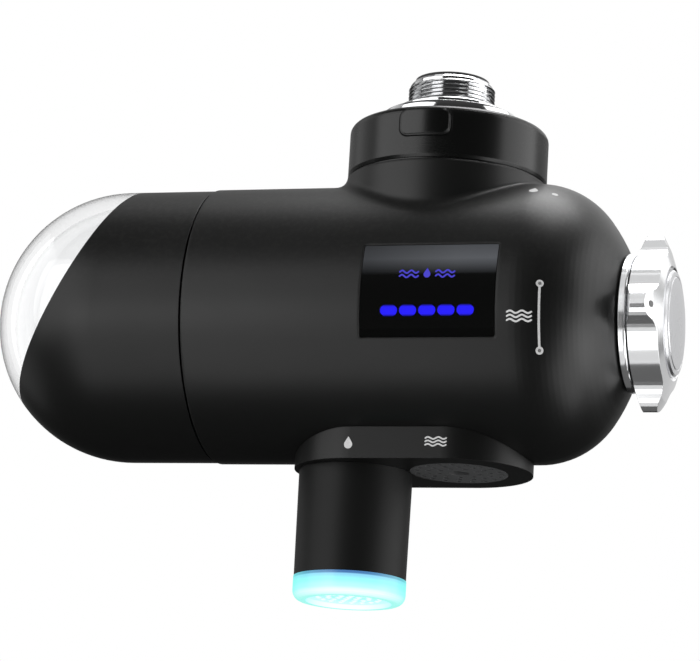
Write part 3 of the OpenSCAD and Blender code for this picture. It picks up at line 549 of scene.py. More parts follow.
@dataclass(frozen=True)
class ClearPlastic(Finish):
    """Clear moulded plastic with a faint flow pattern, painted shade where it is seen at a glancing angle, and a black
    band painted at its end as painted shade in the seam where it meets the housing.
    """

    name: str
    edge_x: float
    colour: Colour = (0.985, 0.988, 0.992)
    # rim: colour of the painted shade where the dome is seen at a glancing angle.
    rim: Colour = (0.12, 0.125, 0.13)
    # edge: black of the band painted at the dome's end, painted shade in the seam.
    edge: Colour = (0.0, 0.0, 0.0)
    roughness: float = 0.03
    index: float = 1.49

    def make(self) -> bpy.types.Material:
        """Returns the clear plastic's material."""
        material, tree, place, surface = self.open()
        tone = self.effect(tree, EFFECTS.tone, Vector=place, Color=(*self.colour, 1.0), Spread=0.02, Scale=60.0)
        film = self.effect(tree, EFFECTS.film, Vector=place, Base=self.roughness, Spread=0.04, Scale=90.0)
        flow = tree.noise(place, 45.0, 2.0)
        bump = tree.add("ShaderNodeBump")
        bump.inputs["Distance"].default_value = 0.02 * MM
        tree.link(flow, bump.inputs["Height"])
        tree.link(bump.outputs["Normal"], surface.inputs["Normal"])
        # Painted shade: darker where the surface is seen at a glancing angle, towards the dome's outline.
        slant = tree.add("ShaderNodeLayerWeight")
        slant.inputs["Blend"].default_value = 0.5
        glancing_shade = tree.spread(slant.outputs["Facing"], 0.0, 1.0, 0.74, 1.0)
        tint = tree.blend(glancing_shade, tone.outputs["Color"], (*self.rim, 1.0))
        part = tree.add("ShaderNodeSeparateXYZ")
        tree.link(place, part.inputs[0])
        # Painted shade in the seam: the end of the dome next to the housing is painted black.
        painted_seam_shade = tree.spread(part.outputs["X"], 0.0, 1.0, self.edge_x - 0.5 * MM, self.edge_x - 0.3 * MM)
        tree.link(tree.blend(painted_seam_shade, tint, (*self.edge, 1.0)), surface.inputs["Base Color"])
        tree.link(film.outputs["Value"], surface.inputs["Roughness"])
        surface.inputs["IOR"].default_value = self.index
        surface.inputs["Transmission Weight"].default_value = 1.0
        return material


@dataclass(frozen=True)
class LitTip(Finish):
    """Frosted clear plastic lit from inside: cyan at its rim and white at its lower middle."""

    name: str
    centre_x: float
    top: float
    bottom: float
    rim: Colour = (0.14, 0.84, 0.72)
    core: Colour = (0.95, 1.0, 1.0)
    power: float = 1.0

    def make(self) -> bpy.types.Material:
        """Returns the lit plastic's material."""
        material, tree, place, surface = self.open()
        part = tree.add("ShaderNodeSeparateXYZ")
        tree.link(place, part.inputs[0])
        low, high = (self.bottom + AXIS_HEIGHT) * MM, (self.top + AXIS_HEIGHT) * MM
        level = tree.spread(part.outputs["Z"], 0.0, 1.0, low, high)
        ramp = tree.add("ShaderNodeValToRGB")
        ramp.color_ramp.interpolation = "EASE"
        stops = ((0.0, self.core), (0.14, self.core), (0.4, (0.46, 0.98, 0.94)), (0.7, (0.3, 0.88, 0.86)),
                 (0.92, (0.25, 0.6, 0.86)), (1.0, (0.02, 0.08, 0.34)))
        ramp.color_ramp.elements[0].position = stops[0][0]
        ramp.color_ramp.elements[0].color = (*stops[0][1], 1.0)
        ramp.color_ramp.elements[1].position = stops[-1][0]
        ramp.color_ramp.elements[1].color = (*stops[-1][1], 1.0)
        for position, colour in stops[1:-1]:
            ramp.color_ramp.elements.new(position).color = (*colour, 1.0)
        tree.link(level, ramp.inputs["Fac"])
        drift = self.effect(tree, EFFECTS.tone, Vector=place, Color=ramp.outputs["Color"], Spread=0.25, Scale=160.0)
        rim = tree.add("ShaderNodeLayerWeight")
        rim.inputs["Blend"].default_value = 0.35
        glow = tree.blend(rim.outputs["Facing"], drift.outputs["Color"], (*self.rim, 1.0))
        film = self.effect(tree, EFFECTS.film, Vector=place, Base=0.3, Spread=0.15)
        tree.link(glow, surface.inputs["Emission Color"])
        surface.inputs["Emission Strength"].default_value = self.power
        surface.inputs["Base Color"].default_value = (0.05, 0.12, 0.13, 1.0)
        tree.link(film.outputs["Value"], surface.inputs["Roughness"])
        return material


@dataclass(frozen=True)
class LampWindow(Finish):
    """A small lit window or print, brightest along its own middle."""

    name: str
    colour: Colour
    power: float
    middle: float
    half: float
    faint: float = 0.55

    def make(self) -> bpy.types.Material:
        """Returns the lamp's material."""
        material, tree, place, surface = self.open()
        part = tree.add("ShaderNodeSeparateXYZ")
        tree.link(place, part.inputs[0])
        off = tree.maths("ABSOLUTE", tree.maths("SUBTRACT", part.outputs["Z"], (self.middle + AXIS_HEIGHT) * MM))
        core = tree.spread(off, 1.0, self.faint, self.half * 0.6 * MM, self.half * MM)
        mottled = self.effect(tree, EFFECTS.tone, Vector=place, Color=(*self.colour, 1.0), Spread=0.15, Scale=900.0)
        lit = tree.add("ShaderNodeVectorMath", operation="SCALE")
        tree.link(mottled.outputs["Color"], lit.inputs[0])
        tree.link(core, lit.inputs["Scale"])
        film = self.effect(tree, EFFECTS.film, Vector=place, Base=0.3, Spread=0.1)
        tree.link(lit.outputs[0], surface.inputs["Emission Color"])
        surface.inputs["Emission Strength"].default_value = self.power
        surface.inputs["Base Color"].default_value = (0.01, 0.01, 0.06, 1.0)
        tree.link(film.outputs["Value"], surface.inputs["Roughness"])
        return material


@dataclass(frozen=True)
class PrintedInk(Finish):
    """Pad-printed ink: slightly uneven cover on the plastic under it."""

    name: str
    colour: Colour = (0.62, 0.62, 0.62)
    under: Colour = (0.2, 0.2, 0.2)

    def make(self) -> bpy.types.Material:
        """Returns the ink's material."""
        material, tree, place, surface = self.open()
        cover = tree.spread(tree.noise(place, 5200.0, 3.0), 0.0, 1.0, 0.25, 0.42)
        tone = self.effect(tree, EFFECTS.tone, Vector=place, Color=(*self.colour, 1.0), Spread=0.15, Scale=600.0)
        grain = self.effect(tree, EFFECTS.grain, Vector=place, Scale=2600.0)
        film = self.effect(tree, EFFECTS.film, Vector=place, Base=0.5, Spread=0.15)
        self.relief(tree, surface, grain.outputs["Height"], 0.004, 0.05)
        tree.link(tree.blend(cover, (*self.under, 1.0), tone.outputs["Color"]), surface.inputs["Base Color"])
        tree.link(film.outputs["Value"], surface.inputs["Roughness"])
        return material


@dataclass(frozen=True)
class PressedCarbon(Finish):
    """Pressed carbon granules."""

    name: str

    def make(self) -> bpy.types.Material:
        """Returns the carbon's material."""
        material, tree, place, surface = self.open()
        cells = tree.add("ShaderNodeTexVoronoi", feature="F1")
        cells.inputs["Scale"].default_value = 1100.0
        tree.link(place, cells.inputs["Vector"])
        shade = tree.spread(cells.outputs["Distance"], 0.9, 0.2)
        tint = tree.blend(shade, (0.008, 0.008, 0.009, 1.0), (0.05, 0.05, 0.052, 1.0))
        tone = self.effect(tree, EFFECTS.tone, Vector=place, Color=tint, Spread=0.6, Scale=300.0)
        film = self.effect(tree, EFFECTS.film, Vector=place, Base=0.8, Spread=0.3, Scale=400.0)
        self.relief(tree, surface, cells.outputs["Distance"], 0.12, 0.1)
        tree.link(tone.outputs["Color"], surface.inputs["Base Color"])
        tree.link(film.outputs["Value"], surface.inputs["Roughness"])
        return material


@dataclass(frozen=True)
class FineWeave(Finish):
    """Woven wire or nonwoven cloth: two crossed sets of threads, with painted shade darkening the low places between
    them.
    """

    name: str
    colour: Colour
    pitch_mm: float
    depth_mm: float
    metallic: float = 0.0
    roughness: float = 0.4

    def make(self) -> bpy.types.Material:
        """Returns the weave's material."""
        material, tree, place, surface = self.open()
        waves = []
        for direction in ("X", "Y"):
            wave = tree.add("ShaderNodeTexWave", wave_type="BANDS", bands_direction=direction)
            wave.inputs["Scale"].default_value = 0.314 / (self.pitch_mm * MM)
            wave.inputs["Distortion"].default_value = 0.6
            tree.link(place, wave.inputs["Vector"])
            waves.append(wave.outputs["Fac"])
        height = tree.maths("MAXIMUM", waves[0], waves[1])
        tone = self.effect(tree, EFFECTS.tone, Vector=place, Color=(*self.colour, 1.0), Spread=0.2, Scale=400.0)
        film = self.effect(tree, EFFECTS.film, Vector=place, Base=self.roughness, Spread=0.2)
        self.relief(tree, surface, height, self.depth_mm, 0.08)
        # Painted shade: the low places between the threads get a darker copy of the colour.
        dark = tuple(c * 0.45 for c in self.colour)
        tree.link(tree.blend(height, (*dark, 1.0), tone.outputs["Color"]), surface.inputs["Base Color"])
        tree.link(film.outputs["Value"], surface.inputs["Roughness"])
        surface.inputs["Metallic"].default_value = self.metallic
        return material


@dataclass(frozen=True)
class CircuitBoard(Finish):
    """Green board with solder mask over copper tracks."""

    name: str
    colour: Colour = (0.012, 0.11, 0.045)

    def make(self) -> bpy.types.Material:
        """Returns the board's material."""
        material, tree, place, surface = self.open()
        tracks = tree.add("ShaderNodeTexBrick")
        tracks.inputs["Scale"].default_value = 260.0
        tracks.inputs["Mortar Size"].default_value = 0.03
        tree.link(place, tracks.inputs["Vector"])
        tone = self.effect(tree, EFFECTS.tone, Vector=place, Color=(*self.colour, 1.0), Spread=0.3, Scale=200.0)
        film = self.effect(tree, EFFECTS.film, Vector=place, Base=0.3, Spread=0.15)
        self.relief(tree, surface, tracks.outputs["Fac"], 0.02, 0.08)
        traced = tree.blend(tracks.outputs["Fac"], tone.outputs["Color"], (0.03, 0.2, 0.08, 1.0))
        tree.link(traced, surface.inputs["Base Color"])
        tree.link(film.outputs["Value"], surface.inputs["Roughness"])
        return material


class MeshMaker:
    """Makes plain mesh pieces and lets them ride on the moving bodies."""

    @staticmethod
    def piece(name: str, points: Sequence[Sequence[float]], faces: Sequence[Sequence[int]],
              material: bpy.types.Material, smooth_degrees: float = 35.0) -> bpy.types.Object:
        """Makes a mesh object at the origin, with its faces turned outwards.

        Args:
            name: The piece's name.
            points: Its corners in metres, in the row frame.
            faces: Its faces as corner numbers.
            material: Its material.
            smooth_degrees: Faces that meet under this angle look smooth.

        Returns:
            The object.
        """
        mesh = bpy.data.meshes.new(name)
        mesh.from_pydata([tuple(p) for p in points], [], [tuple(f) for f in faces])
        mesh.materials.append(material)
        piece = bpy.data.objects.new(name, mesh)
        bpy.context.scene.collection.objects.link(piece)
        MeshMaker.settle(piece, smooth_degrees)
        return piece

    @staticmethod
    def settle(piece: bpy.types.Object, smooth_degrees: float = 35.0) -> None:
        """Merges doubles, turns faces outwards and shades a piece smooth between its sharp edges.

        Args:
            piece: The object.
            smooth_degrees: Edges sharper than this stay crisp.
        """
        form = bmesh.new()
        form.from_mesh(piece.data)
        bmesh.ops.remove_doubles(form, verts=form.verts, dist=1e-7)
        bmesh.ops.recalc_face_normals(form, faces=form.faces)
        limit = math.radians(smooth_degrees)
        for edge in form.edges:
            edge.smooth = len(edge.link_faces) == 2 and edge.calc_face_angle(0.0) < limit
        for face in form.faces:
            face.smooth = True
        form.to_mesh(piece.data)
        form.free()

    @staticmethod
    def lathe(profile: Sequence[Flat], steps: int, centre: Flat = (0.0, 0.0)
              ) -> tuple[list[Vector], list[list[int]]]:
        """Turns a closed profile about an upright axis.

        Args:
            profile: Radius and height of each corner, in millimetres, none on the axis.
            steps: Divisions of the turn.
            centre: X and Y of the axis.

        Returns:
            Points and faces.
        """
        count = len(profile)
        points = [row(centre[0] + r * math.cos(a), centre[1] + r * math.sin(a), h)
                  for a in (2 * math.pi * k / steps for k in range(steps)) for r, h in profile]
        faces = [[k * count + i, k * count + (i + 1) % count,
                  (k + 1) % steps * count + (i + 1) % count, (k + 1) % steps * count + i]
                 for k in range(steps) for i in range(count)]
        return points, faces

    @staticmethod
    def hand_over(piece: bpy.types.Object, body: Body, slot: str, *nodes: str) -> bpy.types.Object:
        """Lets a piece ride on its body and hides the solids it stands for.

        Args:
            piece: The finished piece.
            body: The body it moves with.
            slot: Not used.
            nodes: The solids it replaces.

        Returns:
            The same piece.
        """
        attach(piece, body.value)
        if nodes:
            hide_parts(*nodes)
        LOG.info("%s: %d faces on %s", piece.name, len(piece.data.polygons), body.value)
        return piece


class GeometryTree:
    """A geometry node tree with named inputs that ends in real, dressed geometry."""

    def __init__(self, name: str, inputs: Sequence[tuple[str, str, object]]) -> None:
        """Opens the tree.

        Args:
            name: The tree's name.
            inputs: Name, kind and default of each input.
        """
        self.tree = bpy.data.node_groups.new(name, "GeometryNodeTree")
        for label, kind, value in inputs:
            socket = self.tree.interface.new_socket(label, in_out="INPUT", socket_type=f"NodeSocket{kind}")
            socket.default_value = value
        self.tree.interface.new_socket("Material", in_out="INPUT", socket_type="NodeSocketMaterial")
        self.tree.interface.new_socket("Geometry", in_out="OUTPUT", socket_type="NodeSocketGeometry")
        self.start = self.tree.nodes.new("NodeGroupInput")
        self.end = self.tree.nodes.new("NodeGroupOutput")

    def add(self, kind: str, inputs: dict[str | int, object] | None = None, **settings: object) -> bpy.types.Node:
        """Adds a node.

        Args:
            kind: The node's type name.
            inputs: A socket or value for each of its inputs, by name or number.
            settings: Properties of the node.

        Returns:
            The node.
        """
        node = self.tree.nodes.new(kind)
        for name, value in settings.items():
            setattr(node, name, value)
        for name, value in (inputs or {}).items():
            self.feed(node.inputs[name], value)
        return node

    def feed(self, target: bpy.types.NodeSocket, value: object) -> None:
        """Gives an input a link or a plain value."""
        if isinstance(value, bpy.types.NodeSocket):
            self.tree.links.new(value, target)
        else:
            target.default_value = value

    def maths(self, operation: str, first: object, second: object = 0.0) -> bpy.types.NodeSocket:
        """Returns the result of a Math node on two sockets or numbers."""
        return self.add("ShaderNodeMath", {0: first, 1: second}, operation=operation).outputs[0]

    def given(self, name: str) -> bpy.types.NodeSocket:
        """Returns a named input of the tree."""
        return self.start.outputs[name]

    def close(self, geometry: bpy.types.NodeSocket) -> None:
        """Ends the tree in Realize Instances and Set Material.

        Args:
            geometry: The finished geometry.
        """
        real = self.add("GeometryNodeRealizeInstances", {"Geometry": geometry})
        dressed = self.add("GeometryNodeSetMaterial", {"Geometry": real.outputs[0], "Material": self.given("Material")})
        self.tree.links.new(dressed.outputs[0], self.end.inputs["Geometry"])

    def run(self, name: str, material: bpy.types.Material, values: dict[str, object]) -> bpy.types.Object:
        """Runs the tree and returns its result as a plain mesh at the origin.

        Args:
            name: The piece's name.
            material: The piece's material.
            values: Value of each input by name.

        Returns:
            The object, with no modifier.
        """
        piece = bpy.data.objects.new(name, bpy.data.meshes.new(f"{name}_start"))
        bpy.context.scene.collection.objects.link(piece)
        maker = piece.modifiers.new("make", "NODES")
        maker.node_group = self.tree
        for item in self.tree.interface.items_tree:
            if item.item_type == "SOCKET" and item.in_out == "INPUT":
                maker[item.identifier] = material if item.name == "Material" else values[item.name]
        graph = bpy.context.evaluated_depsgraph_get()
        made = bpy.data.meshes.new_from_object(piece.evaluated_get(graph), depsgraph=graph)
        piece.modifiers.remove(maker)
        piece.data = made
        MeshMaker.settle(piece)
        return piece


class Trees:
    """The geometry node trees of the things that repeat or follow a path."""

    def __init__(self) -> None:
        """Builds each tree once."""
        self.thread = self._thread()
        self.rings = self._rings()
        self.pleats = self._pleats()
        self.lenses = self._lenses()
        self.coil = self._coil()

    @staticmethod
    def _thread() -> GeometryTree:
        """Returns a screw thread: a ridge that winds up an axis and runs out at both ends."""
        tree = GeometryTree("screw_thread", [
            ("Radius", "Float", 0.01), ("Ridge", "Float", 0.0006), ("Half Width", "Float", 0.0006),
            ("Lead", "Float", 0.001), ("Turns", "Float", 5.0), ("Steps", "Int", 400),
            ("Place", "Vector", (0.0, 0.0, 0.0)), ("Turn", "Vector", (0.0, 0.0, 0.0))])
        bar = tree.add("GeometryNodeMeshCylinder", {"Vertices": 6, "Side Segments": tree.given("Steps"),
                                                     "Radius": 1.0, "Depth": 1.0}, fill_type="NGON")
        place = tree.add("GeometryNodeInputPosition").outputs[0]
        part = tree.add("ShaderNodeSeparateXYZ", {0: place})
        along = tree.maths("ADD", part.outputs["Z"], 0.5)
        left = tree.maths("MINIMUM", tree.maths("MULTIPLY", along, tree.given("Turns")), 0.35)
        right = tree.maths("MINIMUM", tree.maths("MULTIPLY", tree.maths("SUBTRACT", 1.0, along),
                                                 tree.given("Turns")), 0.35)
        taper = tree.maths("ADD", tree.maths("DIVIDE", tree.maths("MINIMUM", left, right), 0.35), 0.02)
        out = tree.maths("MULTIPLY", tree.maths("MULTIPLY", part.outputs["X"], tree.given("Ridge")), taper)
        reach = tree.maths("ADD", tree.given("Radius"), out)
        angle = tree.maths("MULTIPLY", tree.maths("MULTIPLY", along, tree.given("Turns")), 2 * math.pi)
        rise = tree.maths("MULTIPLY", tree.maths("MULTIPLY", along, tree.given("Turns")), tree.given("Lead"))
        side = tree.maths("MULTIPLY", tree.maths("MULTIPLY", part.outputs["Y"], tree.given("Half Width")), taper)
        spot = tree.add("ShaderNodeCombineXYZ", {
            0: tree.maths("MULTIPLY", reach, tree.maths("COSINE", angle)),
            1: tree.maths("MULTIPLY", reach, tree.maths("SINE", angle)),
            2: tree.maths("ADD", rise, side)})
        wound = tree.add("GeometryNodeSetPosition", {"Geometry": bar.outputs["Mesh"], "Position": spot.outputs[0]})
        put = tree.add("GeometryNodeTransform", {"Geometry": wound.outputs[0], "Translation": tree.given("Place"),
                                                 "Rotation": tree.given("Turn")})
        tree.close(put.outputs[0])
        return tree

    @staticmethod
    def _rings() -> GeometryTree:
        """Returns small raised rims on three rings of holes and one in the middle."""
        tree = GeometryTree("hole_rims", [
            ("Ring Pitch", "Float", 0.0026), ("Rim Radius", "Float", 0.0007), ("Rim Wire", "Float", 0.0002),
            ("Place", "Vector", (0.0, 0.0, 0.0))])
        rim = tree.add("GeometryNodeCurvePrimitiveCircle", {"Resolution": 14, "Radius": tree.given("Rim Radius")})
        wire = tree.add("GeometryNodeCurvePrimitiveCircle", {"Resolution": 6, "Radius": tree.given("Rim Wire")})
        bead = tree.add("GeometryNodeCurveToMesh", {"Curve": rim.outputs["Curve"],
                                                    "Profile Curve": wire.outputs["Curve"]})
        join = tree.add("GeometryNodeJoinGeometry")
        tree.tree.links.new(bead.outputs[0], join.inputs[0])
        for ring in (1, 2, 3):
            circle = tree.add("GeometryNodeMeshCircle", {
                "Vertices": 6 * ring, "Radius": tree.maths("MULTIPLY", tree.given("Ring Pitch"), float(ring))})
            placed = tree.add("GeometryNodeInstanceOnPoints", {"Points": circle.outputs["Mesh"],
                                                               "Instance": bead.outputs[0]})
            tree.tree.links.new(placed.outputs[0], join.inputs[0])
        put = tree.add("GeometryNodeTransform", {"Geometry": join.outputs[0], "Translation": tree.given("Place")})
        tree.close(put.outputs[0])
        return tree

    @staticmethod
    def _pleats() -> GeometryTree:
        """Returns a pleated wrap: narrow ribs side by side round a lying cylinder."""
        tree = GeometryTree("pleated_wrap", [
            ("Count", "Int", 140), ("Radius", "Float", 0.024), ("Rib", "Float", 0.0003),
            ("Length", "Float", 0.04), ("Place", "Vector", (0.0, 0.0, 0.0))])
        rib = tree.add("GeometryNodeMeshCylinder", {"Vertices": 8, "Radius": tree.given("Rib"),
                                                    "Depth": tree.given("Length")}, fill_type="NGON")
        ring = tree.add("GeometryNodeMeshCircle", {"Vertices": tree.given("Count"), "Radius": tree.given("Radius")})
        placed = tree.add("GeometryNodeInstanceOnPoints", {"Points": ring.outputs["Mesh"],
                                                           "Instance": rib.outputs["Mesh"]})
        put = tree.add("GeometryNodeTransform", {"Geometry": placed.outputs[0], "Translation": tree.given("Place"),
                                                 "Rotation": (0.0, math.pi / 2, 0.0)})
        tree.close(put.outputs[0])
        return tree

    @staticmethod
    def _lenses() -> GeometryTree:
        """Returns small domed lenses spaced round a ring."""
        tree = GeometryTree("ring_lenses", [
            ("Count", "Int", 6), ("Ring Radius", "Float", 0.008), ("Lens Radius", "Float", 0.0007),
            ("Place", "Vector", (0.0, 0.0, 0.0))])
        lens = tree.add("GeometryNodeMeshUVSphere", {"Segments": 16, "Rings": 8, "Radius": tree.given("Lens Radius")})
        ring = tree.add("GeometryNodeMeshCircle", {"Vertices": tree.given("Count"),
                                                   "Radius": tree.given("Ring Radius")})
        placed = tree.add("GeometryNodeInstanceOnPoints", {"Points": ring.outputs["Mesh"],
                                                           "Instance": lens.outputs["Mesh"]})
        put = tree.add("GeometryNodeTransform", {"Geometry": placed.outputs[0], "Translation": tree.given("Place")})
        tree.close(put.outputs[0])
        return tree


    @staticmethod
    def _coil() -> GeometryTree:
        """Returns a spring of round wire that winds along +Y."""
        tree = GeometryTree("wire_coil", [
            ("Turns", "Float", 5.0), ("Coil Radius", "Float", 0.0017), ("Wire Radius", "Float", 0.0004),
            ("Length", "Float", 0.007), ("Place", "Vector", (0.0, 0.0, 0.0))])
        path = tree.add("GeometryNodeCurveSpiral", {
            "Resolution": 28, "Rotations": tree.given("Turns"), "Start Radius": tree.given("Coil Radius"),
            "End Radius": tree.given("Coil Radius"), "Height": tree.given("Length")})
        wire = tree.add("GeometryNodeCurvePrimitiveCircle", {"Resolution": 12, "Radius": tree.given("Wire Radius")})
        skin = tree.add("GeometryNodeCurveToMesh", {"Curve": path.outputs["Curve"],
                                                    "Profile Curve": wire.outputs["Curve"], "Fill Caps": True})
        put = tree.add("GeometryNodeTransform", {"Geometry": skin.outputs[0], "Translation": tree.given("Place"),
                                                 "Rotation": (-math.pi / 2, 0.0, 0.0)})
        tree.close(put.outputs[0])
        return tree


@dataclass
class FaucetAdapter:
    """The plated adapter that screws to the faucet: its body, its thread and its seal."""

    seat: float = 56.0
    thread_len: float = 7.0
    crest: float = 11.0
    core: float = 10.35
    lead: float = 1.0
    seat_r: float = 13.6
    seat_t: float = 1.9
    flange_r: float = 17.5
    flange_t: float = 3.2
    plug_r: float = 11.4
    plug_low: float = 32.9
    bore: float = 5.5
    seal: Flat = (10.2, 36.9)
    seal_half: float = 0.93
    latch: Flat = (9.8, 45.7)
    latch_half: float = 1.7

    def profile(self) -> list[Flat]:
        """Returns the closed section of the body, from the plug's foot up the outside and down the bore."""
        flange = self.seat - self.seat_t - self.flange_t
        top = self.seat + self.thread_len
        return [
            (self.plug_r - 1, self.plug_low), (self.plug_r, self.plug_low + 1),
            (self.plug_r, self.seal[1] - self.seal_half), (self.seal[0], self.seal[1] - self.seal_half),
            (self.seal[0], self.seal[1] + self.seal_half), (self.plug_r, self.seal[1] + self.seal_half),
            (self.plug_r, self.latch[1] - self.latch_half), (self.latch[0], self.latch[1] - self.latch_half),
            (self.latch[0], self.latch[1] + self.latch_half), (self.plug_r, self.latch[1] + self.latch_half),
            (self.plug_r, flange), (self.flange_r - 0.5, flange), (self.flange_r - 0.12, flange + 0.16),
            (self.flange_r, flange + 0.5), (self.flange_r, flange + self.flange_t - 0.8),
            (self.flange_r - 0.2, flange + self.flange_t - 0.24), (self.flange_r - 0.8, flange + self.flange_t),
            (self.seat_r + 0.4, flange + self.flange_t), (self.seat_r, flange + self.flange_t + 0.3),
            (self.seat_r, self.seat - 0.3), (self.seat_r - 0.3, self.seat), (self.core, self.seat),
            (self.core, top - 0.6), (self.core - 0.5, top), (self.crest - 1.55, top),
            (self.crest - 1.55, top - 1.2), (self.bore + 1.15, top - 1.2), (self.bore + 1.15, top - 4.6),
            (self.bore, top - 4.6), (self.bore, self.plug_low)]

    def build(self, trees: Trees, plated: bpy.types.Material) -> None:
        """Makes the body and winds the faucet thread on it.

        Args:
            trees: The geometry trees.
            plated: The bright plated finish.
        """
        points, faces = MeshMaker.lathe(self.profile(), 128)
        body = MeshMaker.piece("adapter_body", points, faces, plated, 28.0)
        MeshMaker.hand_over(body, Body.ADAPTER, "plated_metal", "faucet_adapter")
        turns = (self.thread_len - 1.3) / self.lead
        thread = trees.thread.run("adapter_thread", plated, {
            "Radius": (self.core - 0.05) * MM, "Ridge": (self.crest - self.core + 0.05) * MM,
            "Half Width": 0.42 * MM, "Lead": self.lead * MM, "Turns": turns, "Steps": int(turns * 60),
            "Place": tuple(row(0.0, 0.0, self.seat + 0.5)), "Turn": (0.0, 0.0, 0.0)})
        MeshMaker.hand_over(thread, Body.ADAPTER, "plated_metal")


@dataclass
class Housing:
    """The outside of the housing, with the fillet where the neck grows out of it and the cap's thread."""

    body_r: float = 35.0
    end_start: float = 25.8
    shoulder_r: float = 21.5
    end_arc_r: float = 44.406
    end_arc_x: float = 7.294
    end_meet: float = 53.894
    neck_r: float = 25.2
    fillet_left: float = 3.4
    fillet_right: float = 1.1
    spigot_r: float = 30.6
    spigot_left: float = -67.3
    cap_lead: float = 4.0

    def radius_at(self, x: float) -> float:
        """Returns the housing's outside radius at a distance along its axis."""
        if x <= self.end_start:
            return self.body_r
        turn = x - self.end_start
        if turn < self.shoulder_r * math.sin(math.radians(self.end_meet)):
            return self.body_r - self.shoulder_r + math.sqrt(self.shoulder_r ** 2 - turn ** 2)
        return math.sqrt(max(self.end_arc_r ** 2 - (x - self.end_arc_x) ** 2, 0.0))

    def surface(self, x: float, degrees: float, lift: float) -> Vector:
        """Returns a point on the housing's skin.

        Args:
            x: Distance along the axis.
            degrees: Angle up from the front.
            lift: How far the point stands out of the skin.

        Returns:
            The point in the row frame, in metres.
        """
        here = self.radius_at(x)
        slope = (self.radius_at(x + 0.05) - self.radius_at(x - 0.05)) / 0.1
        size = math.sqrt(1 + slope * slope)
        reach = here + lift / size
        a = math.radians(degrees)
        return row(x - lift * slope / size, -reach * math.cos(a), reach * math.sin(a))

    def neck_fillet(self, material: bpy.types.Material) -> None:
        """Makes the small fillet that follows the line where the neck meets the housing.

        Args:
            material: The housing's plastic.
        """
        steps, arc = 180, 14
        points: list[Vector] = []
        for k in range(steps):
            a = 2 * math.pi * k / steps
            across = Vector((math.cos(a), math.sin(a)))
            share = (1 - math.cos(a - math.radians(-20))) / 2
            fillet = self.fillet_right + (self.fillet_left - self.fillet_right) * share

            def spot(r: float, extra: float) -> Vector:
                """Returns a point above the skin at radius r from the neck's axis."""
                x, y = across.x * r, across.y * r
                return Vector((x, y, math.sqrt(self.radius_at(x) ** 2 - y * y) + extra))

            lower = spot(self.neck_r + fillet, 0.004)
            slope = (spot(self.neck_r + fillet + 0.02, 0.0).z - spot(self.neck_r + fillet - 0.02, 0.0).z) / 0.04
            corner = Vector((across.x * self.neck_r, across.y * self.neck_r, lower.z - slope * fillet))
            upper = corner + Vector((0.0, 0.0, fillet))
            for s in range(arc + 1):
                t = (1 - math.cos(math.pi * s / arc)) / 2
                p = upper * (1 - t) ** 2 + corner * 2 * t * (1 - t) + lower * t * t
                points.append(row(p.x, p.y, p.z))
            inner = spot(self.neck_r - 0.4, -0.5)
            points.append(row(inner.x, inner.y, inner.z))
        count = arc + 2
        faces = [[k * count + i, k * count + (i + 1) % count, (k + 1) % steps * count + (i + 1) % count,
                  (k + 1) % steps * count + i] for k in range(steps) for i in range(count)]
        piece = MeshMaker.piece("neck_fillet", points, faces, material, 40.0)
        MeshMaker.hand_over(piece, Body.HOUSING, "body_plastic")

    def spigot_thread(self, trees: Trees, material: bpy.types.Material) -> None:
        """Winds the low thread that holds the cap.

        Args:
            trees: The geometry trees.
            material: The housing's plastic.
        """
        turns = 1.15
        thread = trees.thread.run("spigot_thread", material, {
            "Radius": (self.spigot_r - 0.2) * MM, "Ridge": 0.4 * MM, "Half Width": 0.8 * MM,
            "Lead": self.cap_lead * MM, "Turns": turns, "Steps": 160,
            "Place": tuple(row(self.spigot_left + 1.0, 0.0, 0.0)), "Turn": (0.0, math.pi / 2, 0.0)})
        MeshMaker.hand_over(thread, Body.HOUSING, "body_plastic")


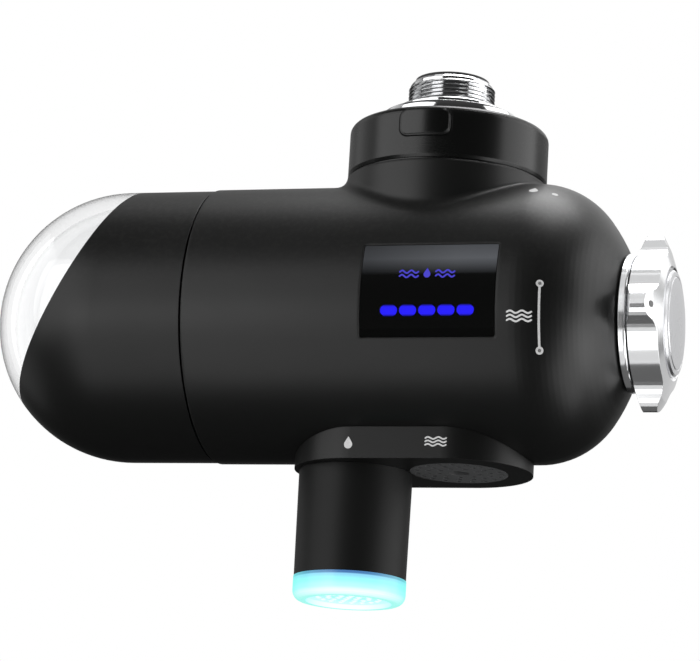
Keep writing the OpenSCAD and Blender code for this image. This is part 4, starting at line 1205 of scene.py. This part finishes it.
class Mark:
    """One flat sign built up from discs, strokes and drops, then laid on a surface as thin ink."""

    def __init__(self) -> None:
        """Starts with nothing drawn."""
        self.patches: list[tuple[list[Flat], list[tuple[int, ...]]]] = []

    def stroke(self, path: Sequence[Flat], width: float, step: float = 0.3) -> "Mark":
        """Draws a line with round ends.

        Args:
            path: Corners of the line, in millimetres.
            width: Width of the line.
            step: Longest stretch between two points.

        Returns:
            The mark itself.
        """
        dense: list[Flat] = [path[0]]
        for a, b in zip(path, path[1:]):
            length = math.dist(a, b)
            parts = max(1, math.ceil(length / step))
            dense += [(a[0] + (b[0] - a[0]) * k / parts, a[1] + (b[1] - a[1]) * k / parts)
                      for k in range(1, parts + 1)]
        half = width / 2
        left: list[Flat] = []
        right: list[Flat] = []
        for k, here in enumerate(dense):
            before, after = dense[max(k - 1, 0)], dense[min(k + 1, len(dense) - 1)]
            dx, dy = after[0] - before[0], after[1] - before[1]
            size = math.hypot(dx, dy) or 1.0
            nx, ny = -dy / size * half, dx / size * half
            left.append((here[0] + nx, here[1] + ny))
            right.append((here[0] - nx, here[1] - ny))
        start, stop = self._cap(dense[1], dense[0], half), self._cap(dense[-2], dense[-1], half)
        outline = left + stop[1:-1] + right[::-1] + start[1:-1]
        count = len(dense)
        faces: list[tuple[int, ...]] = []
        caps = len(stop) - 2
        for k in range(count - 1):
            faces.append((k, k + 1, 2 * count + caps - 2 - k, 2 * count + caps - 1 - k))
        faces.append(tuple(range(count - 1, count + caps + 1)))
        faces.append(tuple([2 * count + caps - 1] + list(range(2 * count + caps, 2 * count + 2 * caps)) + [0]))
        self.patches.append((outline, faces))
        return self

    @staticmethod
    def _cap(inner: Flat, end: Flat, half: float) -> list[Flat]:
        """Returns the half circle that closes a stroke beyond its end, from its left side to its right."""
        a0 = math.atan2(end[1] - inner[1], end[0] - inner[0]) + math.pi / 2
        return [(end[0] + half * math.cos(a0 - math.pi * k / 8), end[1] + half * math.sin(a0 - math.pi * k / 8))
                for k in range(9)]

    def blob(self, outline: Sequence[Flat]) -> "Mark":
        """Fills a convex outline and returns the mark itself."""
        centre = (sum(p[0] for p in outline) / len(outline), sum(p[1] for p in outline) / len(outline))
        count = len(outline)
        inner = [((p[0] + centre[0]) / 2, (p[1] + centre[1]) / 2) for p in outline]
        points = list(outline) + inner
        faces: list[tuple[int, ...]] = [(k, (k + 1) % count, count + (k + 1) % count, count + k)
                                        for k in range(count)]
        faces.append(tuple(range(count, 2 * count)))
        self.patches.append((points, faces))
        return self

    def disc(self, x: float, y: float, r: float) -> "Mark":
        """Draws a filled disc and returns the mark itself."""
        return self.blob([(x + r * math.cos(a), y + r * math.sin(a))
                          for a in (2 * math.pi * k / 24 for k in range(24))])

    def drop(self, x: float, y: float, r: float) -> "Mark":
        """Draws a water drop round a centre, its tip up, and returns the mark itself."""
        side = [(x + r * math.cos(a), y + r * math.sin(a))
                for a in (math.radians(-210 + 240 * k / 20) for k in range(21))]
        return self.blob(side + [(x + r * 0.42, y + r * 1.25), (x, y + r * 1.9), (x - r * 0.42, y + r * 1.25)])

    def wave(self, x: float, y: float, length: float, height: float, width: float) -> "Mark":
        """Draws a ripple of two swings and returns the mark itself."""
        path = [(x + length * k / 24, y + height * math.sin(4 * math.pi * k / 24)) for k in range(25)]
        return self.stroke(path, width)

    def lay(self, name: str, place: Callable[[float, float, float], Vector], material: bpy.types.Material,
            body: Body, slot: str, proud: float = 0.03, sunk: float = 0.05) -> bpy.types.Object:
        """Lays the mark on a surface as a thin closed film.

        Args:
            name: The piece's name.
            place: Gives the point for two flat coordinates and a lift, all in millimetres.
            material: The ink.
            body: The body it rides on.
            slot: The record's slot.
            proud: How far the ink stands out.
            sunk: How far its back lies in the surface.

        Returns:
            The piece.
        """
        points: list[Vector] = []
        faces: list[tuple[int, ...]] = []
        for flat, cells in self.patches:
            base, count = len(points), len(flat)
            points += [place(u, v, proud) for u, v in flat] + [place(u, v, -sunk) for u, v in flat]
            faces += [tuple(base + i for i in cell) for cell in cells]
            faces += [tuple(base + count + i for i in reversed(cell)) for cell in cells]
            edges: dict[tuple[int, int], tuple[int, int]] = {}
            for cell in cells:
                for a, b in zip(cell, cell[1:] + cell[:1]):
                    key = (min(a, b), max(a, b))
                    if key in edges:
                        del edges[key]
                    else:
                        edges[key] = (a, b)
            faces += [(base + b, base + a, base + count + a, base + count + b) for a, b in edges.values()]
        piece = MeshMaker.piece(name, points, faces, material, 30.0)
        return MeshMaker.hand_over(piece, body, slot)


@dataclass
class Marks:
    """The generic signs printed where the real one has words, and its line and dots."""

    housing: Housing
    lens_r: float = 34.95
    base_y: float = 18.4
    base_turn_x: float = 7.0
    ink: bpy.types.Material | None = None
    grey: bpy.types.Material | None = None
    dark: bpy.types.Material | None = None
    lit: bpy.types.Material | None = None

    def on_lens(self, x: float, height: float, lift: float) -> Vector:
        """Returns a point on the display's lens."""
        reach = self.lens_r + lift
        return row(x, -math.sqrt(reach ** 2 - height ** 2), height)

    def on_front(self, x: float, degrees: float, lift: float) -> Vector:
        """Returns a point on the housing, by distance along it and angle up from the front."""
        return self.housing.surface(x, degrees, lift)

    def on_base(self, x: float, height: float, lift: float) -> Vector:
        """Returns a point on the front wall of the outlet base."""
        reach = self.base_y + lift
        for end in (-16.4, self.base_turn_x):
            if (x - end) * (1 if end > 0 else -1) > 0:
                a = (x - end) / self.base_y
                return row(end + reach * math.sin(a), -reach * math.cos(a), height)
        return row(x, -reach, height)

    def front_flat(self, x0: float, degrees0: float) -> Callable[[float, float, float], Vector]:
        """Returns a placing function for a sign whose centre lies at a place on the housing's front."""
        scale = math.degrees(1 / self.housing.radius_at(x0))
        return lambda u, v, lift: self.on_front(x0 + u, degrees0 + v * scale, lift)

    def build(self) -> None:
        """Prints the marks of the display, the front, the shoulder and the base."""
        display = Mark().drop(0.0, -0.35, 0.85).wave(2.2, 0.35, 4.6, 0.35, 0.42).wave(2.2, -0.75, 4.6, 0.35, 0.42)
        display.wave(-6.8, 0.35, 4.6, 0.35, 0.42).wave(-6.8, -0.75, 4.6, 0.35, 0.42)
        display.lay("display_sign", lambda u, v, lift: self.on_lens(5.25 + u, 4.4 + v, lift), self.lit,
                    Body.HOUSING, "life_light")
        def on_line(u: float, v: float, lift: float) -> Vector:
            """Returns a point beside the upright line, by distance from it and height."""
            return self.on_front(32.95 + u, math.degrees(math.asin(v / self.housing.radius_at(32.95))), lift)

        line = Mark().stroke([(0.0, 1.7), (0.0, -14.1)], 0.55, 0.5).disc(0.0, 1.7, 0.9).disc(0.0, -14.1, 0.9)
        line.lay("selector_line", on_line, self.grey, Body.HOUSING, "white_plastic")
        Mark().disc(0.0, 1.7, 0.4).disc(0.0, -14.1, 0.4).lay(
            "selector_line_eyes", on_line, self.dark, Body.HOUSING, "white_plastic", 0.05, 0.02)
        spray = Mark()
        for k in (-1, 0, 1):
            spray.wave(-2.9, 1.0 * k, 5.8, 0.3, 0.45)
        spray.lay("raw_sign", self.front_flat(28.3, -10.6), self.ink, Body.HOUSING, "white_plastic")
        drop = Mark().drop(0.0, -0.5, 1.1).disc(5.4, -0.9, 0.75)
        drop.lay("pure_sign", self.front_flat(27.0, 57.0), self.ink, Body.HOUSING, "white_plastic")
        Mark().drop(0.0, -0.55, 1.05).lay(
            "pure_outlet_sign", lambda u, v, lift: self.on_base(-16.7 + u, -33.85 + v, lift), self.ink,
            Body.HOUSING, "white_plastic")
        ripple = Mark()
        for k in (-1, 0, 1):
            ripple.wave(-2.6, 0.85 * k, 5.2, 0.25, 0.38)
        ripple.lay("raw_outlet_sign", lambda u, v, lift: self.on_base(5.35 + u, -33.65 + v, lift), self.ink,
                   Body.HOUSING, "white_plastic")


@dataclass
class Latch:
    """The spring behind the latch plate, between the button and the collar."""

    front: float = 14.6
    back: float = 22.1
    height: float = 45.2
    coil_r: float = 1.7
    wire_r: float = 0.4
    turns: float = 5.0

    def build(self, trees: Trees, steel: bpy.types.Material) -> None:
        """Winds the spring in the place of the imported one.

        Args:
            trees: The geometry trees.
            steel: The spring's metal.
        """
        spring = trees.coil.run("latch_coil", steel, {
            "Turns": self.turns, "Coil Radius": self.coil_r * MM, "Wire Radius": self.wire_r * MM,
            "Length": (self.back - self.front - 2 * self.wire_r) * MM,
            "Place": tuple(row(0.0, self.front + self.wire_r, self.height))})
        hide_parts("latch_spring")
        tuple(row(0.0, self.front, self.height))
        tuple(row(0.0, self.back, self.height))
        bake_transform(spring)
        LOG.info("%s: %d faces between %s and %s", spring.name, len(spring.data.polygons), Body.BUTTON.value,
                 Body.HOUSING.value)


@dataclass
class SelectorKnob:
    """The lobed knob: its pointer dot on the sloping face of its front lobe."""

    seat_x: float = 48.8
    lobe_r: float = 22.3
    front: float = 7.4
    slope_to: Flat = (19.4, 8.85)
    groove: Flat = (13.9, 10.6)

    def front_at(self, r: float) -> float:
        """Returns the handle's front face, from the seat, at a radius."""
        if r >= self.slope_to[0]:
            share = (self.lobe_r - r) / (self.lobe_r - self.slope_to[0])
            return self.front + share * (self.slope_to[1] - self.front)
        share = (self.slope_to[0] - r) / (self.slope_to[0] - self.groove[0])
        return self.slope_to[1] + share * (self.groove[1] - self.slope_to[1])

    def build(self, grey: bpy.types.Material) -> None:
        """Lays the pointer dot on the front lobe.

        Args:
            grey: The grey ink.
        """
        def place(u: float, v: float, lift: float) -> Vector:
            """Returns a point on the front lobe's sloping face."""
            r = math.hypot(19.9 + u, v)
            x = self.seat_x + self.front_at(r) + lift
            return row(x, -(19.9 + u), v)

        Mark().disc(0.0, 0.0, 0.85).lay("knob_dot", place, grey, Body.SELECTOR, "satin_metal", 0.04, 0.3)


@dataclass
class LightTip:
    """The spout's light ring and shower plate, seen through the clear tip."""

    x: float = -19.5
    ring_low: float = -62.55
    ring_r: float = 9.2
    shower_low: float = -69.3
    hole_pitch: float = 2.6

    def build(self, trees: Trees, lamp: bpy.types.Material, plate: bpy.types.Material) -> None:
        """Makes the lenses over the lamps and the rims round the shower's holes.

        Args:
            trees: The geometry trees.
            lamp: The lit finish.
            plate: The shower plate's finish.
        """
        lenses = trees.lenses.run("lamp_lenses", lamp, {
            "Count": 6, "Ring Radius": self.ring_r * MM, "Lens Radius": 0.5 * MM,
            "Place": tuple(row(self.x, 0.0, self.ring_low))})
        MeshMaker.hand_over(lenses, Body.HOUSING, "tip_plastic")
        rims = trees.rings.run("shower_rims", plate, {
            "Ring Pitch": self.hole_pitch * MM, "Rim Radius": 0.72 * MM, "Rim Wire": 0.2 * MM,
            "Place": tuple(row(self.x, 0.0, self.shower_low))})
        MeshMaker.hand_over(rims, Body.HOUSING, "shower_plastic")


@dataclass
class Cartridge:
    """The cartridge's pleated wrap between the carbon and the cage."""

    left: float = -72.0
    right: float = -32.9
    radius: float = 24.32
    rib: float = 0.33

    def build(self, trees: Trees, cloth: bpy.types.Material) -> None:
        """Makes the pleats.

        Args:
            trees: The geometry trees.
            cloth: The nonwoven finish.
        """
        pleats = trees.pleats.run("cartridge_pleats", cloth, {
            "Count": 230, "Radius": self.radius * MM, "Rib": self.rib * MM,
            "Length": (self.right - self.left - 0.4) * MM,
            "Place": tuple(row((self.left + self.right) / 2, 0.0, 0.0))})
        MeshMaker.hand_over(pleats, Body.HOUSING, "cartridge_plastic")


class Wardrobe:
    """Every finish of the object, and the solids that wear it."""

    def __init__(self) -> None:
        """Makes the materials."""
        black = (0.0038, 0.004, 0.0038)
        self.body = MouldedPlastic("satin_black_body", black, 0.38, 0.1, specular=0.45, edge_mm=0.9).make()
        self.shell = MouldedPlastic("satin_black_shell", black, 0.38, 0.1, specular=0.38).make()
        self.collar = MouldedPlastic("semi_gloss_collar", (0.002, 0.0022, 0.002), 0.27, 0.08, grain_mm=0.002,
                                     specular=0.5).make()
        self.fillet = MouldedPlastic("satin_black_fillet", black, 0.38, 0.1, specular=0.45, edge_mm=0.0,
                                     edge_wear_and_highlight=0.0).make()
        # The button's strong edge lightening is a painted highlight round its edges.
        self.button = MouldedPlastic("gloss_button", (0.002, 0.0022, 0.002), 0.2, 0.06, grain_mm=0.001,
                                     specular=0.55, edge_mm=0.5, edge_wear_and_highlight=0.8).make()
        self.base = MouldedPlastic("satin_black_base", black, 0.38, 0.1, specular=0.34).make()
        self.spray = MouldedPlastic("matt_spray_plate", (0.055, 0.056, 0.057), 0.5, 0.12, specular=0.3,
                                    edge_mm=0.12).make()
        self.spout = MouldedPlastic("semi_gloss_spout", (0.0046, 0.0048, 0.0046), 0.46, 0.08, grain_mm=0.002,
                                    specular=0.22).make()
        self.inner = MouldedPlastic("grey_inner", (0.14, 0.145, 0.15), 0.5, 0.15).make()
        self.white = MouldedPlastic("white_inner", (0.72, 0.72, 0.7), 0.4, 0.12, tone_spread=0.06).make()
        self.cage = MouldedPlastic("ivory_cage", (0.7, 0.7, 0.67), 0.42, 0.12, tone_spread=0.06).make()
        self.coil = MouldedPlastic("brown_coil_body", (0.18, 0.07, 0.03), 0.45, 0.12).make()
        self.turbine = MouldedPlastic("orange_turbine", (0.75, 0.22, 0.03), 0.4, 0.1, tone_spread=0.1).make()
        self.lens = SmokedLens("smoked_lens").make()
        self.magnet = PlatedMetal("magnet_plating", (0.3, 0.3, 0.31), 0.35, about=Axis.Z,
                                  centre=(-19.5, 0.0, 0.0)).make()
        self.chrome = PlatedMetal("bright_plating", (0.86, 0.865, 0.875), 0.14, 0.06, 5200.0, 0.0006).make()
        self.adapter = PlatedMetal("bright_adapter", (0.86, 0.865, 0.875), 0.1, 0.06, 5200.0, 0.0006,
                                   Axis.Z, (0.0, 0.0, 0.0)).make()
        self.satin = PlatedMetal("satin_face", (0.74, 0.745, 0.76), 0.28, 0.12, 9000.0, 0.003).make()
        self.steel = PlatedMetal("bright_steel", (0.66, 0.66, 0.66), 0.2, 0.1).make()
        self.brass = PlatedMetal("turned_brass", (0.72, 0.5, 0.2), 0.25, 0.12, 6000.0, 0.003).make()
        self.rubber = SoftRubber("seal_rubber").make()
        self.washer = SoftRubber("washer_rubber", (0.03, 0.03, 0.031), 0.75).make()
        self.dome = ClearPlastic("clear_dome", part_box("clear_dome")[1][0]).make()
        self.carbon = PressedCarbon("pressed_carbon").make()
        self.mesh = FineWeave("inlet_mesh", (0.62, 0.62, 0.62), 0.35, 0.05, 1.0, 0.3).make()
        self.cloth = FineWeave("pleated_cloth", (0.78, 0.78, 0.76), 0.3, 0.03, 0.0, 0.8).make()
        self.board = CircuitBoard("green_board").make()
        self.ink = PrintedInk("pale_ink", (0.6, 0.6, 0.6), (0.3, 0.3, 0.3)).make()
        self.grey_ink = PrintedInk("silver_ink", (0.5, 0.5, 0.5)).make()
        self.dark_ink = PrintedInk("grey_ink", (0.12, 0.12, 0.12), (0.3, 0.3, 0.3)).make()
        self.lights = LampWindow("life_lights", (0.016, 0.009, 0.95), 1.0, -4.85, 1.4, 0.02).make()
        self.sign = LampWindow("lit_sign", (0.03, 0.02, 0.5), 1.0, 4.2, 2.6).make()
        self.tip = LitTip("lit_tip", -19.5, -65.2, -70.5).make()
        self.shower = LitTip("lit_shower", -19.5, -40.0, -60.0).make()

    def worn_by(self) -> dict[str, bpy.types.Material]:
        """Returns the material of each solid by its name."""
        return {
            "adapter_washer": self.washer, "inlet_strainer": self.mesh, "adapter_seal": self.rubber,
            "faucet_adapter": self.adapter, "main_housing": self.body, "collar": self.collar,
            "inlet_socket": self.inner, "valve_body": self.inner, "valve_gland": self.brass,
            "display_lens": self.lens, "display_board": self.board, "display_lights": self.lights,
            "outlet_base": self.base, "spray_plate": self.spray, "spout_tube": self.spout,
            "flow_guide": self.white, "turbine_axle": self.steel, "generator_coil": self.coil,
            "led_ring": self.board, "light_tip": self.tip, "shower_plate": self.shower,
            "knob_base": self.chrome, "cartridge_cage": self.cage, "carbon_block": self.carbon,
            "cartridge_cap": self.cage, "cartridge_seal": self.rubber, "release_button": self.button,
            "latch_plate": self.steel, "latch_spring": self.steel, "knob_handle": self.chrome,
            "knob_face": self.satin, "knob_screw": self.steel, "valve_spindle": self.white,
            "spindle_seals": self.rubber, "cap_seal": self.rubber, "clear_dome": self.dome,
            "cap_shell": self.shell, "turbine_wheel": self.turbine, "rotor_magnet": self.magnet}

    def dress(self) -> None:
        """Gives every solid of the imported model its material."""
        for name, material in self.worn_by().items():
            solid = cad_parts[name]
            if solid.material_slots:
                for slot in solid.material_slots:
                    slot.material = material
            else:
                solid.data.materials.append(material)
            LOG.info("%s wears %s", name, material.name)


@dataclass(frozen=True)
class SoftBox:
    """One studio lamp: a soft rectangle that looks at the object."""

    name: str
    azimuth: float
    elevation: float
    distance: float
    width: float
    height: float
    power: float
    aim: Spot = (-10.0, 0.0, -5.0)
    spares: tuple[str, ...] = ()
    only: tuple[str, ...] = ()

    def place(self) -> None:
        """Adds the lamp; azimuth 0 is in front of the object and 90 at its right."""
        a, e = math.radians(self.azimuth), math.radians(self.elevation)
        towards = Vector((math.sin(a) * math.cos(e), -math.cos(a) * math.cos(e), math.sin(e)))
        aim = row(*self.aim)
        data = bpy.data.lights.new(self.name, "AREA")
        data.shape = "RECTANGLE"
        data.size, data.size_y = self.width, self.height
        data.energy = self.power
        lamp = bpy.data.objects.new(self.name, data)
        lamp.visible_camera = False
        lamp.location = aim + towards * self.distance
        lamp.rotation_euler = (-towards).to_track_quat("-Z", "Y").to_euler()
        bpy.context.scene.collection.objects.link(lamp)
        if self.spares or self.only:
            chosen = bpy.data.collections.new(f"{self.name}_receivers")
            for name in self.spares or self.only:
                chosen.objects.link(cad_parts[name])
            for entry in chosen.collection_objects:
                entry.light_linking.link_state = "EXCLUDE" if self.spares else "INCLUDE"
            lamp.light_linking.receiver_collection = chosen


@dataclass
class Studio:
    """The pale floor, the white surroundings, the lamps and the camera."""

    floor_height: float = -900.0
    camera_place: Spot = (208.87, -799.0, -257.17)
    camera_turn: Spot = (103.5438, -3.3375, 15.3981)
    focal_px: float = 3388.29
    picture: tuple[int, int] = (700, 661)
    front_gloss: float = 0.025
    back_gloss: float = 0.25
    top_gloss: float = 0.04
    floor_gloss: float = 0.03
    ambient: float = 0.45

    def floor(self) -> None:
        """Makes the floor: pale from above, and not in the way of a camera under it."""
        material = bpy.data.materials.new("pale_floor")
        material.use_nodes = True
        material.node_tree.nodes.clear()
        tree = ShaderTree(material.node_tree)
        place = tree.add("ShaderNodeTexCoord").outputs["Object"]
        tone = Finish.effect(tree, EFFECTS.tone, Vector=place, Color=(0.82, 0.82, 0.82, 1.0), Spread=0.03, Scale=3.0)
        path = tree.add("ShaderNodeLightPath")
        dim = self.floor_gloss
        matt = tree.add("ShaderNodeBsdfDiffuse")
        tree.link(tree.blend(path.outputs["Is Glossy Ray"], tone.outputs["Color"], (dim, dim, dim, 1.0)),
                  matt.inputs["Color"])
        clear = tree.add("ShaderNodeBsdfTransparent")
        face = tree.add("ShaderNodeNewGeometry")
        mix = tree.add("ShaderNodeMixShader")
        tree.link(face.outputs["Backfacing"], mix.inputs[0])
        tree.link(matt.outputs[0], mix.inputs[1])
        tree.link(clear.outputs[0], mix.inputs[2])
        output = tree.add("ShaderNodeOutputMaterial")
        tree.link(mix.outputs[0], output.inputs["Surface"])
        mesh = bpy.data.meshes.new("floor")
        form = bmesh.new()
        bmesh.ops.create_circle(form, cap_ends=True, radius=3.0, segments=96)
        form.to_mesh(mesh)
        form.free()
        mesh.materials.append(material)
        floor = bpy.data.objects.new("floor", mesh)
        floor.location = (0.0, 0.0, self.floor_height * MM)
        bpy.context.scene.collection.objects.link(floor)

    def world(self) -> None:
        """Makes the surroundings: white to the camera and through clear parts, softer for light and gloss."""
        world = bpy.data.worlds.new("studio")
        world.use_nodes = True
        world.node_tree.nodes.clear()
        tree = ShaderTree(world.node_tree)
        path = tree.add("ShaderNodeLightPath")
        seen = tree.maths("MAXIMUM", path.outputs["Is Camera Ray"], path.outputs["Is Transmission Ray"])
        part = tree.add("ShaderNodeSeparateXYZ")
        tree.link(tree.add("ShaderNodeTexCoord").outputs["Generated"], part.inputs[0])
        behind = self.rise(tree, part.outputs["Y"], -0.05, 0.4)
        level = self.rise(tree, part.outputs["Z"], -0.2, 0.15)
        above = self.rise(tree, part.outputs["Z"], 0.2, 0.9)
        back = tree.maths("MULTIPLY", tree.maths("MULTIPLY", behind, level), self.back_gloss)
        top = tree.maths("MULTIPLY", above, self.top_gloss)
        gloss = tree.maths("ADD", tree.maths("MAXIMUM", back, top), self.front_gloss)
        soft = tree.add("ShaderNodeMix", data_type="FLOAT")
        tree.link(path.outputs["Is Glossy Ray"], soft.inputs["Factor"])
        soft.inputs[2].default_value = self.ambient
        tree.link(gloss, soft.inputs[3])
        strength = tree.add("ShaderNodeMix", data_type="FLOAT")
        tree.link(seen, strength.inputs["Factor"])
        tree.link(soft.outputs[0], strength.inputs[2])
        strength.inputs[3].default_value = 1.0
        sky = tree.add("ShaderNodeBackground")
        sky.inputs["Color"].default_value = (1.0, 1.0, 1.0, 1.0)
        tree.link(strength.outputs[0], sky.inputs["Strength"])
        output = tree.add("ShaderNodeOutputWorld")
        tree.link(sky.outputs[0], output.inputs["Surface"])
        bpy.context.scene.world = world

    @staticmethod
    def rise(tree: ShaderTree, value: bpy.types.NodeSocket, start: float, stop: float) -> bpy.types.NodeSocket:
        """Returns a smooth step from 0 to 1.

        Args:
            tree: The tree.
            value: The input socket.
            start: The value where the step starts.
            stop: The value where it has reached 1.

        Returns:
            The step's output.
        """
        node = tree.add("ShaderNodeMapRange", interpolation_type="SMOOTHSTEP")
        tree.link(value, node.inputs["Value"])
        node.inputs["From Min"].default_value = start
        node.inputs["From Max"].default_value = stop
        return node.outputs["Result"]

    def lamps(self) -> None:
        """Hangs the soft boxes."""
        display = ("display_lens", "display_lights")
        knob = ("knob_handle", "knob_face", "knob_base", "knob_screw")
        seat = (55.0, 0.0, 0.0)
        for box in (SoftBox("front_box", -27.0, -25.0, 0.8, 0.45, 1.0, 1.9, spares=display),
                    SoftBox("left_box", -46.0, 14.0, 1.1, 1.25, 1.0, 6.3, spares=display),
                    SoftBox("far_left_box", -100.0, 5.0, 1.1, 0.7, 1.5, 1.3),
                    SoftBox("right_box", 104.0, 10.0, 1.1, 1.1, 1.3, 7.2),
                    SoftBox("low_right_box", 84.0, -27.0, 1.0, 0.8, 1.0, 4.8),
                    SoftBox("back_box", 165.0, 38.0, 1.1, 1.0, 0.6, 1.1),
                    SoftBox("top_box", 155.0, 72.0, 1.1, 1.1, 0.9, 2.0),
                    SoftBox("near_top_box", 160.0, 77.0, 0.6, 0.35, 0.35, 1.7, (38.0, 0.0, 0.0)),
                    SoftBox("knob_low_card", -10.0, -52.0, 0.7, 0.8, 0.8, 1.45, seat, only=knob),
                    SoftBox("knob_high_card", -10.0, 42.0, 0.7, 1.0, 1.0, 2.0, seat, only=knob),
                    SoftBox("knob_top_card", 170.0, 76.0, 0.7, 0.9, 0.8, 1.1, seat, only=knob),
                    SoftBox("knob_back_card", 165.0, 14.0, 0.7, 0.7, 0.7, 0.55, seat, only=knob),
                    SoftBox("knob_under_card", 170.0, -72.0, 0.7, 0.9, 0.9, 0.25, seat, only=knob),
                    SoftBox("knob_fill_card", 0.0, -8.0, 0.7, 2.0, 2.0, 1.6, seat, only=knob)):
            box.place()

    def camera(self) -> None:
        """Sets the camera at the photograph's viewing angle."""
        data = bpy.data.cameras.new("camera")
        data.sensor_fit = "HORIZONTAL"
        data.sensor_width = 36.0
        data.lens = self.focal_px * data.sensor_width / self.picture[0]
        data.clip_start, data.clip_end = 0.05, 20.0
        camera = bpy.data.objects.new("camera", data)
        camera.location = Vector(self.camera_place) * MM
        camera.rotation_euler = Euler([math.radians(a) for a in self.camera_turn], "XYZ")
        bpy.context.scene.collection.objects.link(camera)
        bpy.context.scene.camera = camera

    def build(self) -> None:
        """Sets up the whole studio."""
        self.floor()
        self.world()
        self.lamps()
        self.camera()
        bpy.context.scene.view_settings.view_transform = "Standard"


def main() -> None:
    """Builds the looks in order and reports each piece."""
    logging.basicConfig(level=logging.INFO, format="%(message)s")
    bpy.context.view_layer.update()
    trees = Trees()
    wardrobe = Wardrobe()
    wardrobe.dress()
    housing = Housing()
    FaucetAdapter().build(trees, wardrobe.adapter)
    housing.neck_fillet(wardrobe.fillet)
    housing.spigot_thread(trees, wardrobe.body)
    Marks(housing, ink=wardrobe.ink, grey=wardrobe.grey_ink, dark=wardrobe.dark_ink, lit=wardrobe.sign).build()
    SelectorKnob().build(wardrobe.dark_ink)
    Latch().build(trees, wardrobe.steel)
    LightTip().build(trees, wardrobe.shower, wardrobe.shower)
    Cartridge().build(trees, wardrobe.cloth)
    Studio().build()


if __name__ == "__main__":
    main()
